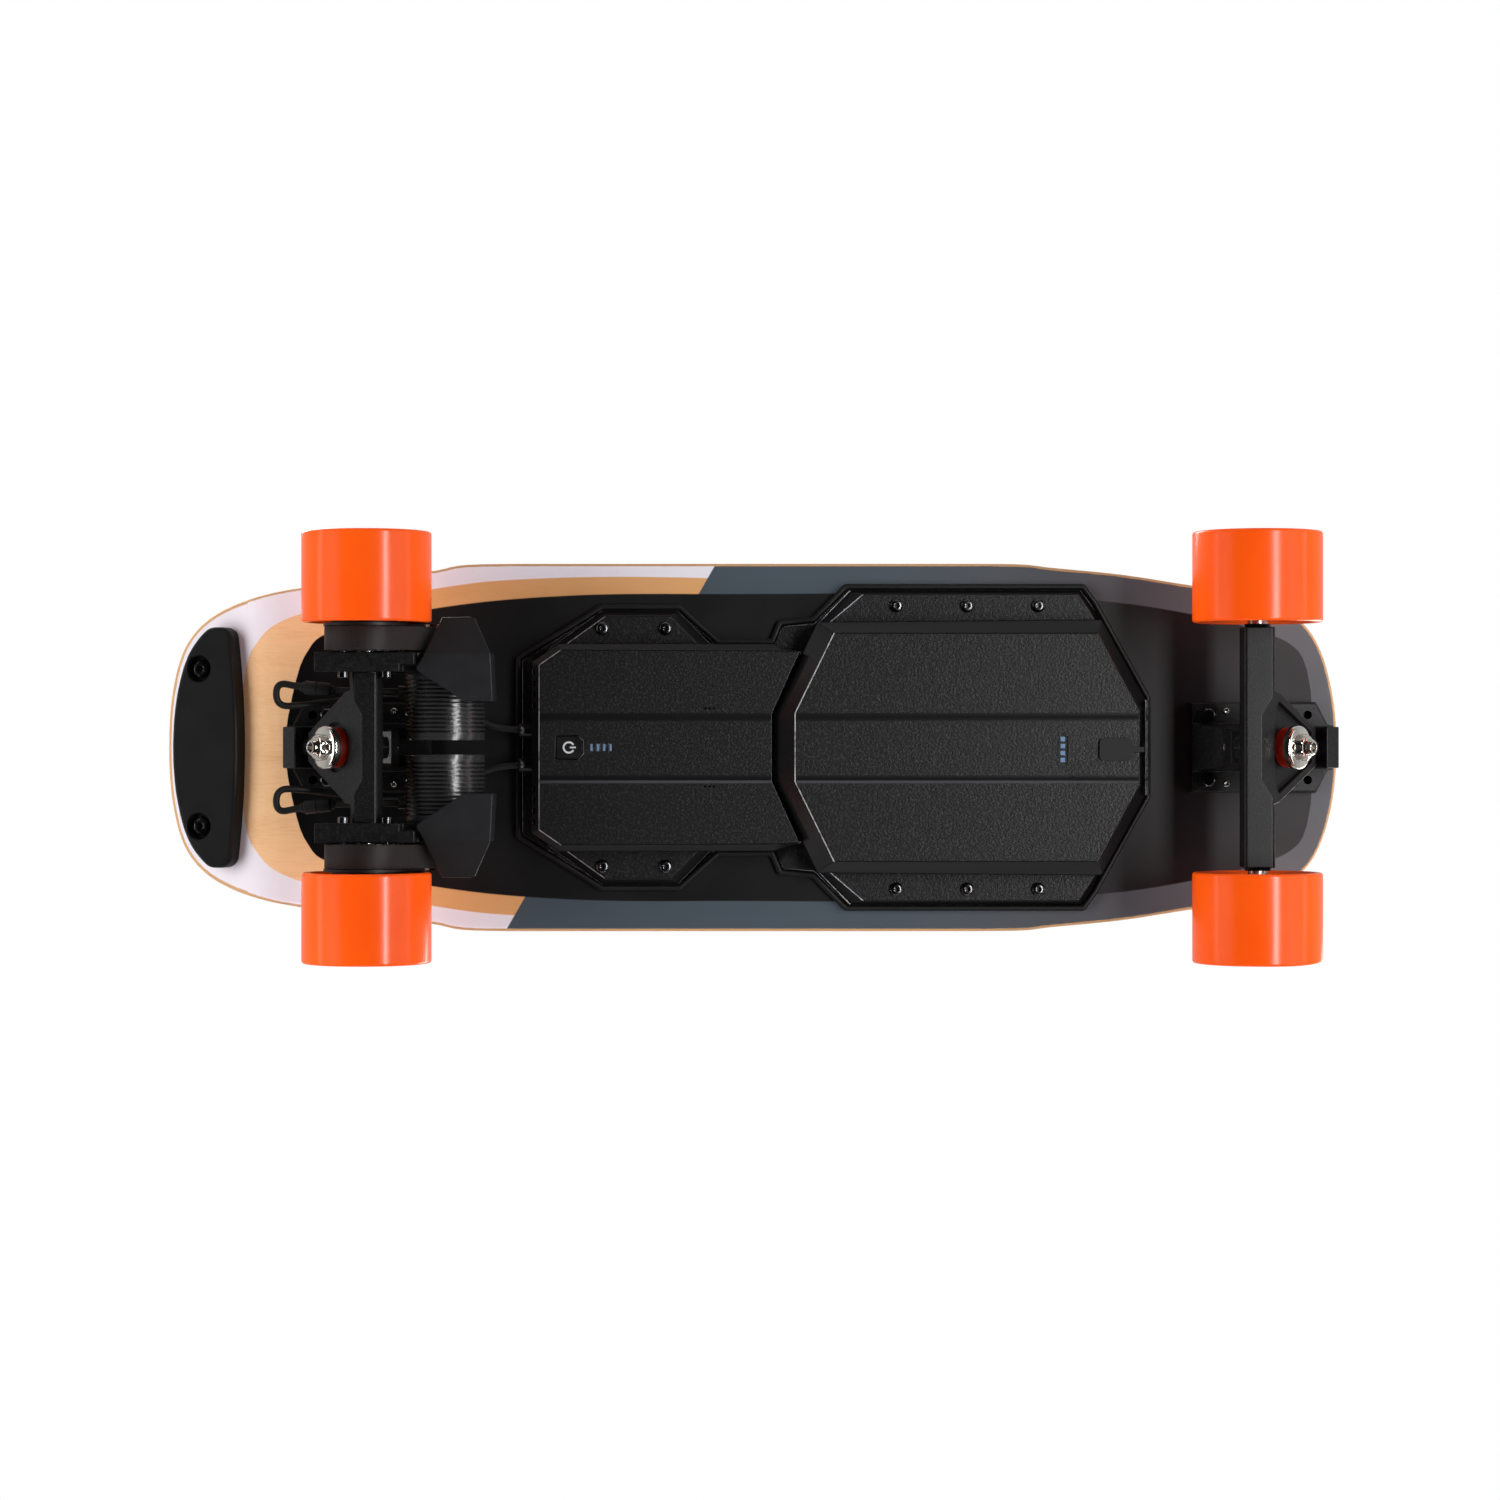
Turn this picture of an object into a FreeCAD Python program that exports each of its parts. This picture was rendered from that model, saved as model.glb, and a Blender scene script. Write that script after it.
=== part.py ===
import FreeCAD, Part
import math
import os
import re
import Sketcher
from FreeCAD import Placement, Rotation, Vector

# Electric skateboard, drawn in millimetres. +X points to the nose, +Y to the rider's left and
# +Z up. The origin lies on the ground below the middle of the deck. Both trucks are drawn once,
# in a truck frame whose origin is on the ground below the axle and whose +X points away from the
# middle of the board.

SIZES = {
    # deck
    "deck_length": 748.5, "deck_half_width": 117.2, "deck_bottom": 113, "deck_thickness": 11,
    "grip_thickness": 1, "grip_inset": 1.5, "tail_straight": 225, "nose_straight": 228.5,
    "kick_start": 300, "kick_radius": 60, "kick_angle": 20, "edge_round": 3,
    "bend_reach": 345,
    # how far a cutting tool runs past what it cuts, and the play of pressed and loose fits
    "over": 1, "press_fit": 0.02, "hole_play": 0.1,
    # tail bumper
    "bumper_thick": 11, "bumper_inset": 4, "bumper_inner": 326.2, "bumper_half": 76.7,
    "bumper_bow": 5, "bumper_inner_corner": 8, "bumper_outer_corner": 9,
    "bumper_bolt_along": 29.5, "bumper_bolt_side": 50.3, "bumper_bolt_bite": 7.7,
    "bumper_bolt_pocket": 8.5, "bumper_bolt_depth": 6.5, "bumper_bolt_across": 10,
    "bumper_bolt_head": 4,
    # trucks
    "axle_height": 40, "front_axle": 313, "rear_axle": 236.5, "axle_radius": 4,
    "riser_thick": 3, "plate_thick": 6, "plate_half": 28, "plate_inner": 32.5,
    "plate_outer": 46, "block_inner": 54, "block_outer": 57.4, "block_half": 13,
    "riser_lip": 1, "bolt_inner": 22.5, "bolt_outer": 31.48, "bolt_spare": 41,
    "pivot_wall": 2.6, "pivot_block_lead": 4, "pivot_block_rise": 6, "bolt_side": 20.64,
    "bolt_radius": 2.5, "bolt_hole": 2.75, "bolt_head": 5,
    "bolt_head_deep": 3, "bolt_end": 96.5, "nut_thick": 5, "nut_across": 8,
    "set_screw_in": 10.5, "set_screw_side": 23.1, "set_screw_radius": 2, "set_screw_proud": 1.2,
    # kingpin group, measured along the kingpin from the middle of the hanger ring
    "kingpin_tilt": 50, "ring_out": 14.7, "ring_height": 58, "kingpin_radius": 4.75,
    "kingpin_hole": 4.8, "kingpin_root": 36, "kingpin_end": 26.5, "seat_back": 18,
    "seat_half": 13, "washer_thick": 1.5, "washer_radius": 13.5, "washer_lip": 3,
    "bushing_radius": 12.5, "bushing_hole": 5, "ring_half": 4.5, "bushing_gap": 0.3,
    "kingpin_nut_back": 17, "kingpin_nut_front": 24, "kingpin_nut_across": 14.3,
    "boss_foot_half": 15, "boss_tip_half": 9.5, "boss_tip_height": 60,
    "boss_knee_in": -24, "boss_knee_height": 92, "boss_heel_in": -16, "boss_heel_height": 80,
    "boss_toe_in": -13, "boss_toe_height": 66, "boss_drop": 4, "boss_back": 2,
    "seat_low_share": 0.65, "seat_high_share": 0.75, "seat_play": 0.5, "seat_deep": 6,
    "cup_play": 0.2,
    # pivot
    "pivot_along": 46, "pivot_radius": 5.5, "pivot_fit": 5.56, "pivot_cup_radius": 8,
    "pivot_cup_deep": 8, "pivot_cup_floor": 1.5, "pivot_start": 20, "pivot_play": 0.4,
    # hanger
    "front_beam_half": 9.7, "rear_beam_half": 8, "beam_bottom": 30, "beam_top": 52,
    "beam_bevel": 1.6,
    "front_beam_reach": 74, "rear_beam_reach": 46.3, "barrel_radius": 10, "barrel_reach": 58.8,
    "web_back": 24, "web_back_half": 37, "web_shoulder": 10, "web_shoulder_half": 34,
    "front_web_tip": 33, "front_web_tip_half": 12, "rear_web_tip": 31, "rear_web_tip_half": 9,
    "web_half_thick": 8, "web_recess": 15.7, "scoop_back": 30, "scoop_back_half": 18.7,
    "scoop_side": 26, "scoop_side_half": 30, "scoop_open_half": 42, "scoop_open": 60,
    "scoop_flare": 4,
    "pocket_back": 15, "pocket_back_half": 23, "pocket_side": 10, "pocket_side_half": 28.4,
    "pocket_tip": 28.5, "pocket_tip_half": 9.2,
    "ring_hole": 8, "axle_hole": 4.05, "stub_radius": 8, "stub_reach": 76,
    # wheels, measured outward from the middle plane
    "wheel_radius": 40, "wheel_inner": 77, "wheel_outer": 133, "tyre_round": 1.8,
    "tyre_bore": 25, "rim_bore": 22, "rim_inset": 2, "hub_radius": 15, "bearing_radius": 11,
    "bearing_thick": 7, "bearing_in": 82, "bearing_out": 113, "spacer_seat": 9.5,
    "sleeve_radius": 6, "sleeve_fit": 6.06, "core_web_in": 96, "core_web_out": 110,
    "core_hole": 2.6, "core_hole_ring": 18.5, "axle_nut_thick": 6, "axle_nut_across": 13,
    "axle_reach": 128, "core_hole_count": 6,
    # drive
    "motor_in": 45.9, "motor_height": 67.5, "motor_radius": 25, "motor_near": 4.5,
    "motor_far": 46.5, "can_wall": 2.6, "can_end": 2.5, "rib_count": 13, "rib_pitch": 2.64,
    "rib_width": 1.3, "rib_deep": 1.5, "rib_start": 9.25, "shaft_radius": 4, "shaft_fit": 4.06,
    "stator_roof_gap": 0.5, "stator_lift": 1, "boot_gap": 0.3, "stator_radius": 17.4,
    "stator_bore": 4.8, "rotor_radius": 21.8, "rotor_bore": 18.2,
    "rotor_near": 8, "rotor_disc": 3, "rotor_far": 40, "shaft_near": 5.5, "shaft_far": 77,
    "mount_far": 58.5, "mount_motor_radius": 22, "mount_axle_radius": 15,
    "mount_block_in": 31, "mount_block_out": 30.5, "mount_block_low": 24.5,
    "mount_block_high": 56, "mount_notch_from": 21.9, "mount_notch_deep": 4.5,
    "mount_notch_high": 41, "mount_bore": 10.05, "mount_shaft_hole": 8,
    "clamp_screw_along": 13.3, "clamp_screw_height": 31, "drive_screw_radius": 2,
    "clamp_screw_proud": 0.6, "head_play": 0.3, "head_floor_play": 0.5, "drive_screw_head": 3.5,
    "drive_screw_head_long": 4, "face_screw_ring": 15,
    "face_screw_count": 4, "face_screw_bite": 2.4, "drive_screw_fit": 2.05,
    "wheel_teeth": 30, "motor_teeth": 14, "wheel_pulley_radius": 23.3,
    "motor_pulley_radius": 10.57, "tooth_gap": 1.5, "pulley_near": 59.2, "pulley_far": 74.8,
    "flange_far": 76.4, "wheel_flange": 26.5, "motor_flange": 12.4, "pulley_bore": 11.5,
    "collar_in": 15.2, "collar_out": 21.8, "collar_reach": 95.9, "pulley_shaft_hole": 4.02,
    "belt_near": 59.7, "belt_far": 74.5, "belt_gap": 0.4, "belt_thick": 2.2,
    # belt guard
    "guard_low": 31, "guard_thick": 2.5, "guard_crease": 57.8, "guard_edge": 81,
    "guard_edge_low": 41, "guard_wall_top": 64, "guard_near": 28.4, "guard_wall_far": 78.6,
    "guard_fold_shift": 0.5, "guard_foot_play": 0.5, "guard_boss_in": 41, "guard_boss_out": 51,
    "guard_boss_top": 45.5,
    # motor cables
    "cable_radius": 2.15, "plug_radius": 4.3, "plug_long": 17, "gland_radius": 4.6,
    "gland_side": 11, "gland_height": 101, "gland_out": 146, "gland_in": 135,
    "cable_arc_share": 0.45, "boot_radius": 3.6, "boot_long": 7, "boot_out": 17,
    "boot_side": 35, "boot_height": 69,
    # covers
    "flange_low": 110.5, "pad_low": 104, "cover_ledge": 92, "controller_low": 87,
    "battery_low": 81, "cover_wall": 2.5, "controller_floor": 89.5, "battery_floor": 83.5,
    "battery_deep": 94.5, "bead_width": 3.5, "bead_low": 108.8, "bead_fit": 0.2,
    "cover_screw_radius": 1.9, "cover_screw_hole": 2, "cover_screw_head": 4.3,
    "cover_screw_chamfer": 1.2, "drain_count": 3, "cover_screw_head_long": 2.8,
    "cover_screw_top": 119, "controller_screw_side": 75.5,
    "battery_screw_side": 90, "drain_radius": 0.7, "drain_side": 24.6, "drain_first": 28.2,
    "drain_pitch": 2.7, "vent_count": 4, "vent_first": 24.5, "vent_pitch": 7, "vent_width": 4,
    "vent_low": 89.5, "vent_high": 103, "vent_far": 142, "vent_near": 129,
    # button, lights and charging port
    "button_tail": 122, "button_nose": 105.6, "button_half": 6.9, "button_corner": 3.4,
    "button_low": 86.2, "button_high": 91, "button_gap": 0.3, "light_first": 99.8,
    "light_pitch": 4, "light_long": 1.3, "light_wide": 4.4, "light_proud": 0.1,
    "light_play": 0.05, "light_deep": 2, "light_count": 4, "gauge_at": 196.6,
    "gauge_half_long": 10,
    "gauge_half_wide": 3.2, "gauge_deep": 0.8, "gauge_pitch": 4.4, "gauge_light": 2.8,
    "port_at": 229.5, "port_side": 1.3, "port_radius": 5.5, "port_bore": 3.2, "port_top": 96,
    "port_low": 82.4,
    "port_bore_top": 92, "flap_tail": 219.5, "flap_nose": 240.5, "flap_half": 7,
    "flap_thick": 1.9, "flap_gap": 0.15, "flap_round": 3, "strap_end": 247.5,
    "strap_half": 1.6, "lip_inner": 3.8, "lip_outer": 5, "lip_top": 82, "end_plate_near": 248.3,
    "end_plate_far": 251.2, "end_plate_half": 30, "end_plate_low": 84,
    # inside the covers
    "cell_radius": 9.1, "cell_length": 65, "cell_pitch": 18.4, "cell_count": 10,
    "cell_first": 49.7, "cell_height": 103.7, "cell_gap": 0.5, "board_tail": 60,
    "board_nose": 205, "board_half": 40, "board_low": 88, "board_thick": 2,
    "chip_first": 78, "chip_long": 16, "chip_pitch": 32, "chip_half": 12, "chip_deep": 3,
    "chip_count": 4, "store_first": -24, "store_step": 14, "store_columns": 2,
    "store_pitch": 16, "store_rows": 5, "store_radius": 5, "store_long": 11,
    "driver_tail": 122, "driver_nose": 5, "driver_half": 46, "driver_low": 98,
    "driver_thick": 2, "sink_tail": 118, "sink_nose": 40, "sink_half": 36, "sink_top": 112.8,
    "sink_slot_count": 8, "sink_slot_pitch": 9, "sink_slot_half": 2, "sink_base": 103,
}

# Half outlines of the two covers, from the middle line to the left side, as (x, y).
FLANGE = ((-149, 57.5), (-95, 91), (-44, 91), (-19.5, 69), (13, 69), (18, 81), (39, 82.7),
          (60, 104), (213, 104), (221, 93), (255, 32))
SEAM = ((14, 21.3), (31.5, 60.3), (14, 65.5), (13, 66))
CONTROLLER_PANEL = ((14, 21.3), (31.5, 60.3), (14, 61.2), (-119, 61.7), (-133, 52))
CONTROLLER_FOOT = ((14, 21.3), (31.5, 60.3), (14, 65.5), (-121, 65.5), (-138, 54))
CONTROLLER_CAVITY = ((10, 20), (10, 57.5), (-117, 58.5), (-130, 49.5))
CONTROLLER_PAD_FOOT = ((-129, 62), (-94, 86.5), (-46, 86.5), (-22, 62))
CONTROLLER_PAD = ((-122, 62), (-92, 83.5), (-50.5, 83.5), (-29, 62))
BATTERY_PANEL = ((28.4, 21.6), (53, 72), (218.7, 72), (245, 23))
BATTERY_FOOT = ((14.6, 21.3), (42.5, 79), (222, 80.5), (251, 27))
BATTERY_CAVITY = ((31, 20.5), (55, 69), (217, 69), (242, 21.5))
BATTERY_DEEP_CAVITY = ((17.6, 20.5), (42.5, 76.5), (219, 76.5), (247, 25.5))
BATTERY_PAD_FOOT = ((43, 78), (63.5, 99.4), (210, 99.4), (217.5, 89), (223, 78))
BATTERY_PAD = ((49, 78), (72, 97.5), (208.5, 97.5), (215, 88), (221, 78))
CONTROLLER_SCREWS = (-93.5, -53.4)
BATTERY_SCREWS = (93, 138, 183)

# Half widths of the deck at distances from its tail tip and from its nose tip.
TAIL_STATIONS = ((0, 0), (4.5, 45.5), (12, 66), (24, 80), (49, 93), (88, 102), (179, 114))
NOSE_STATIONS = ((0, 0), (4.5, 43), (17.8, 75), (95.5, 103.8), (141.5, 110.8), (187.5, 115.3))

# Outline of the right belt guard in the rear truck's frame, as (x, y).
GUARD = ((-46.6, 80.3), (-64.1, 80.6), (-66.9, 79.4), (-77.1, 57.8), (-78.6, 28.4),
         (-60.4, 28.4), (-32, 47.3), (-31.7, 49.7), (-36.3, 57.8))

# Points of the right motor cable in the rear truck's frame, from the cover to the motor.
CABLE = ((-101, 11, 101), (-80, 11, 101), (-64, 17, 101), (-36, 30, 100.5), (-4, 31.5, 96),
         (22, 29.5, 84), (46, 26, 75), (60, 26, 73), (60, 41, 72), (46, 38, 71.5),
         (22, 35.5, 70.5), (0, 35, 69), (-17, 35, 69))
CABLE_PLUG_RUN = 9

AXIS_X = Vector(1, 0, 0)
AXIS_Y = Vector(0, 1, 0)
AXIS_Z = Vector(0, 0, 1)
ORIGIN = Vector(0, 0, 0)
TOUCH = 0.01
UPRIGHT = 0.9
SIDES = (("left", 1), ("right", -1))

doc = FreeCAD.newDocument("ElectricSkateboard")
sheet = doc.addObject("Spreadsheet::Sheet", "Sizes")
for row, (alias, number) in enumerate(SIZES.items(), start=1):
    sheet.set("A%d" % row, alias)
    sheet.set("B%d" % row, str(number))
    sheet.setAlias("B%d" % row, alias)
doc.recompute()

nodes = []


def size(alias):
    """One driving dimension, read from the sheet."""
    return float(sheet.get(alias))


def formula(text):
    """An expression in which each alias is looked up in the sheet."""
    return re.sub(r"\b(?!sqrt)[a-z][a-z_]+", lambda word: "Sizes." + word.group(), str(text))


def value(text):
    """The present value of a formula."""
    return float(sheet.evalExpression(formula(text)))


def bind(thing, **formulas):
    """Tie properties of a document object to formulas."""
    for name, text in formulas.items():
        thing.setExpression(name, formula(text))
    return thing


def at(thing, x, y, z):
    """Tie the place of a document object to three formulas."""
    for axis, text in zip("xyz", (x, y, z)):
        thing.setExpression("Placement.Base." + axis, formula(text))
    return thing


def node(label, thing):
    """Register a finished sub-part under its own label."""
    thing.Label = label
    nodes.append(thing)
    return thing


# ---- primitives and booleans -------------------------------------------------------------

def rod(radius, length, start, direction=AXIS_Z):
    """A cylinder that starts at three formulas and runs along a direction."""
    part = doc.addObject("Part::Cylinder", "Rod")
    bind(part, Radius=radius, Height=length)
    part.Placement = Placement(ORIGIN, Rotation(AXIS_Z, direction))
    return at(part, *start)


def block(low, high):
    """A box between two corners that are given as formulas."""
    part = doc.addObject("Part::Box", "Block")
    spans = ["(%s)-(%s)" % pair for pair in zip(high, low)]
    bind(part, Length=spans[0], Width=spans[1], Height=spans[2])
    return at(part, *low)


def fused(parts, name="Fused"):
    """Several overlapping or touching shapes as one."""
    whole = doc.addObject("Part::MultiFuse", name)
    whole.Shapes = parts
    return whole


def grouped(parts, name="Group"):
    """Separate solids kept together in one node."""
    whole = doc.addObject("Part::Compound", name)
    whole.Links = parts
    return whole


def cut(base, tools, name="Cut"):
    """A shape with one or more tools taken away."""
    part = doc.addObject("Part::Cut", name)
    part.Base = base
    part.Tool = tools[0] if len(tools) == 1 else grouped(tools, "Tools")
    return part


def shared(parts, name="Shared"):
    """What several shapes have in common."""
    part = doc.addObject("Part::MultiCommon", name)
    part.Shapes = parts
    return part


def moved(source, place, name="Copy"):
    """A placed copy of a shape."""
    link = doc.addObject("App::Link", name)
    link.LinkedObject = source
    link.LinkTransform = True
    link.LinkPlacement = place
    return link


def mirrored(source, name):
    """The same piece on the right-hand side of the board."""
    part = doc.addObject("Part::Mirroring", name)
    part.Source = source
    part.Normal = AXIS_Y
    return part


def solid(name, shape):
    """A shape worked out with Part's own functions."""
    part = doc.addObject("Part::Feature", name)
    part.Shape = shape
    return part


# ---- bodies ------------------------------------------------------------------------------

def origin_part(body, role):
    """A plane or an axis of a body's own origin."""
    return next(part for part in body.Origin.OriginFeatures if part.Role == role)


def outline_sketch(body, role, points, offset="0"):
    """A closed outline whose corners are pairs of formulas, on a plane of the body."""
    sketch = body.newObject("Sketcher::SketchObject", "Outline")
    sketch.AttachmentSupport = [(origin_part(body, role), "")]
    sketch.MapMode = "FlatFace"
    sketch.setExpression("AttachmentOffset.Base.z", formula(offset))
    corners = [Vector(value(x), value(y), 0) for x, y in points]
    count = len(corners)
    for index in range(count):
        sketch.addGeometry(Part.LineSegment(corners[index], corners[(index + 1) % count]))
    for index in range(count):
        sketch.addConstraint(Sketcher.Constraint("Coincident", index, 2, (index + 1) % count, 1))
    for index, (x, y) in enumerate(points):
        for kind, text in (("DistanceX", x), ("DistanceY", y)):
            number = sketch.addConstraint(Sketcher.Constraint(kind, -1, 1, index, 1, value(text)))
            sketch.setExpression("Constraints[%d]" % number, formula(text))
    return sketch


def prism(name, role, points, low, high):
    """A body padded between two distances along the normal of an origin plane."""
    body = doc.addObject("PartDesign::Body", name)
    faces_back = role == "XZ_Plane"
    sketch = outline_sketch(body, role, points, "-(%s)" % high if faces_back else low)
    pad = body.newObject("PartDesign::Pad", "Pad")
    pad.Profile = sketch
    bind(pad, Length="(%s)-(%s)" % (high, low))
    return body


def turned(name, profile):
    """A body turned about its own Z axis from corners given as (radius, height)."""
    body = doc.addObject("PartDesign::Body", name)
    sketch = outline_sketch(body, "XZ_Plane", profile)
    turn = body.newObject("PartDesign::Revolution", "Turn")
    turn.Profile = sketch
    turn.ReferenceAxis = (origin_part(body, "Z_Axis"), [""])
    turn.Angle = 360
    return body


def washer_profile(inner, outer, low, high):
    """The section of a plain ring."""
    return ((inner, low), (outer, low), (outer, high), (inner, high))


def rounded(body, radius, wanted):
    """Round the edges of a body that a test picks out."""
    doc.recompute()
    tip = body.Tip
    names = ["Edge%d" % (number + 1) for number, edge in enumerate(tip.Shape.Edges) if wanted(edge)]
    fillet = body.newObject("PartDesign::Fillet", "Round")
    fillet.Base = (tip, names)
    bind(fillet, Radius=radius)
    return body


def notched(body, centre_radius, notch_radius, low, high, count):
    """Cut equal round-bottomed gaps into the rim of a turned body."""
    doc.recompute()
    sketch = body.newObject("Sketcher::SketchObject", "Gap")
    sketch.AttachmentSupport = [(origin_part(body, "XY_Plane"), "")]
    sketch.MapMode = "FlatFace"
    sketch.setExpression("AttachmentOffset.Base.z", formula(low))
    centre = Vector(value(centre_radius), 0, 0)
    sketch.addGeometry(Part.Circle(centre, AXIS_Z, value(notch_radius)))
    for kind, text in (("DistanceX", centre_radius), ("DistanceY", "0")):
        number = sketch.addConstraint(Sketcher.Constraint(kind, -1, 1, 0, 3, value(text)))
        sketch.setExpression("Constraints[%d]" % number, formula(text))
    number = sketch.addConstraint(Sketcher.Constraint("Radius", 0, value(notch_radius)))
    sketch.setExpression("Constraints[%d]" % number, formula(notch_radius))
    pocket = body.newObject("PartDesign::Pocket", "Gap")
    pocket.Profile = sketch
    pocket.Reversed = True
    bind(pocket, Length="(%s)-(%s)" % (high, low))
    pattern = body.newObject("PartDesign::PolarPattern", "Gaps")
    pattern.Originals = [pocket]
    pattern.Axis = (origin_part(body, "Z_Axis"), [""])
    pattern.Angle = 360
    bind(pattern, Occurrences=count)
    body.Tip = pattern
    return body


def hexagon(name, across, low, high):
    """A hexagonal bar along the local Z axis."""
    corner = "(%s)/sqrt(3)" % across
    half = "(%s)/2" % across
    points = ((corner, "0"), (corner + "/2", half), ("-" + corner + "/2", half),
              ("-" + corner, "0"), ("-" + corner + "/2", "-" + half),
              (corner + "/2", "-" + half))
    return prism(name, "XY_Plane", points, low, high)


# ---- places ------------------------------------------------------------------------------

def truck_place(end):
    """The frame of one truck: on the ground below its axle, +X away from the deck's middle."""
    if end == "front":
        return Placement(Vector(size("front_axle"), 0, 0), Rotation())
    return Placement(Vector(-size("rear_axle"), 0, 0), Rotation(AXIS_Z, 180))


def tied_to_truck(thing, end):
    """Move a piece drawn at the truck's origin to its truck, with the distance tied."""
    thing.Placement = truck_place(end)
    return at(thing, "front_axle" if end == "front" else "-rear_axle", "0", "0")


def kingpin_direction():
    """Down and away from the deck's middle."""
    tilt = math.radians(size("kingpin_tilt"))
    return Vector(math.sin(tilt), 0, -math.cos(tilt))


def ring_centre():
    """The middle of the hanger ring, on the kingpin, in the truck's frame."""
    return Vector(size("ring_out"), 0, size("ring_height"))


def kingpin_place():
    """The kingpin's own frame: its +Z runs down the kingpin from the hanger ring."""
    return Placement(ring_centre(), Rotation(AXIS_Z, kingpin_direction()))


def web_place():
    """The hanger web's own frame: +X up and away along the web, +Z back up the kingpin."""
    return Placement(ring_centre(), Rotation(AXIS_Y, -size("kingpin_tilt")))


def pivot_direction():
    """The steering axis, up and away from the deck's middle."""
    return Vector(1, 0, 1).normalize()


def pivot_place():
    """The steering axis' own frame: it starts at the hanger ring and +Z runs to the pivot."""
    return Placement(ring_centre(), Rotation(AXIS_Z, pivot_direction()))


def wheel_place(end, side):
    """A wheel's own frame: the middle of its axle, +Z outward along the axle."""
    truck = truck_place(end).Base
    return Placement(truck + Vector(0, 0, size("axle_height")), Rotation(AXIS_Z, Vector(0, side, 0)))


def motor_place(side):
    """A motor's own frame: its shaft, at the middle plane, with +Z outward."""
    x = -size("rear_axle") + size("motor_in")
    return Placement(Vector(x, 0, size("motor_height")), Rotation(AXIS_Z, Vector(0, side, 0)))


def on_wheel(thing, end, side):
    """Put a turned piece on a wheel's axle."""
    thing.Placement = wheel_place(end, side)
    return at(thing, "front_axle" if end == "front" else "-rear_axle", "0", "axle_height")


def on_motor(thing, side):
    """Put a turned piece on a motor's shaft."""
    thing.Placement = motor_place(side)
    return at(thing, "motor_in-rear_axle", "0", "motor_height")


def per_truck(source, name):
    """One copy of a truck piece in each truck, as one node."""
    copies = [moved(source, truck_place(end)) for end in ("front", "rear")]
    return grouped(copies, name)


# ---- deck --------------------------------------------------------------------------------

def half_outline(stations, straight, inset):
    """A smooth edge from a tip on the middle line to the straight side, as a spline."""
    half_width = size("deck_half_width") - inset
    points = [Vector(distance + inset, max(half - inset, 0), 0) for distance, half in stations]
    points.append(Vector(straight, half_width, 0))
    curve = Part.BSplineCurve()
    curve.interpolate(Points=points, InitialTangent=AXIS_Y, FinalTangent=AXIS_X)
    return curve.toShape()


def deck_face(inset):
    """The deck's outline seen from above, moved inward all round, as a face at height 0."""
    tip = size("deck_length") / 2
    side = size("deck_half_width") - inset
    tail = half_outline(TAIL_STATIONS, size("tail_straight"), inset)
    nose = half_outline(NOSE_STATIONS, size("nose_straight"), inset)
    tail.translate(Vector(-tip, 0, 0))
    nose = nose.mirror(ORIGIN, AXIS_X)
    nose.translate(Vector(tip, 0, 0))
    straight = Part.LineSegment(Vector(size("tail_straight") - tip, side, 0),
                                Vector(tip - size("nose_straight"), side, 0)).toShape()
    left = [tail, straight, nose]
    right = [edge.mirror(ORIGIN, AXIS_Y) for edge in left]
    return Part.Face(Part.Wire(Part.__sortEdges__(left + right)))


def kick_corner():
    """The end of the tail's bend on the bottom of the deck."""
    radius = size("kick_radius")
    turn = math.radians(size("kick_angle"))
    x = -size("kick_start") - radius * math.sin(turn)
    return Vector(x, 0, size("deck_bottom") + radius * (1 - math.cos(turn)))


def tail_place():
    """The tail's own frame: on its bottom face at the end of the bend, +Z through the deck."""
    return Placement(kick_corner(), Rotation(AXIS_Y, size("kick_angle")))


def kick_line(rise):
    """The side line of the deck at a height above its bottom: flat, bent up and straight."""
    radius = size("kick_radius") - rise
    turn = math.radians(size("kick_angle"))
    middle = Vector(-size("kick_start"), 0, size("deck_bottom") + size("kick_radius"))
    start = middle - Vector(0, 0, radius)
    halfway = middle - Vector(math.sin(turn / 2), 0, math.cos(turn / 2)) * radius
    end = middle - Vector(math.sin(turn), 0, math.cos(turn)) * radius
    reach = size("deck_length") / 2
    nose = Vector(reach, 0, start.z)
    tail = end - Vector(math.cos(turn), 0, -math.sin(turn)) * size("kick_start") / 2
    return nose, start, halfway, end, tail


def kicked_slab(low, high):
    """A slab between two heights above the deck's bottom that follows the kicked tail."""
    nose, start, halfway, end, tail = kick_line(low)
    top_nose, top_start, top_halfway, top_end, top_tail = kick_line(high)
    edges = [Part.LineSegment(nose, start), Part.Arc(start, halfway, end),
             Part.LineSegment(end, tail), Part.LineSegment(tail, top_tail),
             Part.LineSegment(top_tail, top_end), Part.Arc(top_end, top_halfway, top_start),
             Part.LineSegment(top_start, top_nose), Part.LineSegment(top_nose, nose)]
    face = Part.Face(Part.Wire([edge.toShape() for edge in edges]))
    half = size("deck_half_width")
    face.translate(Vector(0, -half, 0))
    return face.extrude(Vector(0, 2 * half, 0))


def kicked_board(inset, low, high):
    """The deck's outline between two heights above its bottom."""
    height = size("deck_length")
    column = deck_face(inset).extrude(Vector(0, 0, height))
    return column.common(kicked_slab(low, high)).removeSplitter()


def bolt_spots():
    """The eight truck bolts, on the deck."""
    spots = []
    for end in ("front", "rear"):
        for x in (-size("bolt_inner"), size("bolt_outer")):
            for side in (1, -1):
                spots.append(truck_place(end).multVec(Vector(x, side * size("bolt_side"), 0)))
    return spots


def cover_screw_spots():
    """The ten cover screws, on the ground plane."""
    rows = ((CONTROLLER_SCREWS, "controller_screw_side"), (BATTERY_SCREWS, "battery_screw_side"))
    return [Vector(x, side * size(away), 0) for xs, away in rows for x in xs for side in (1, -1)]


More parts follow.
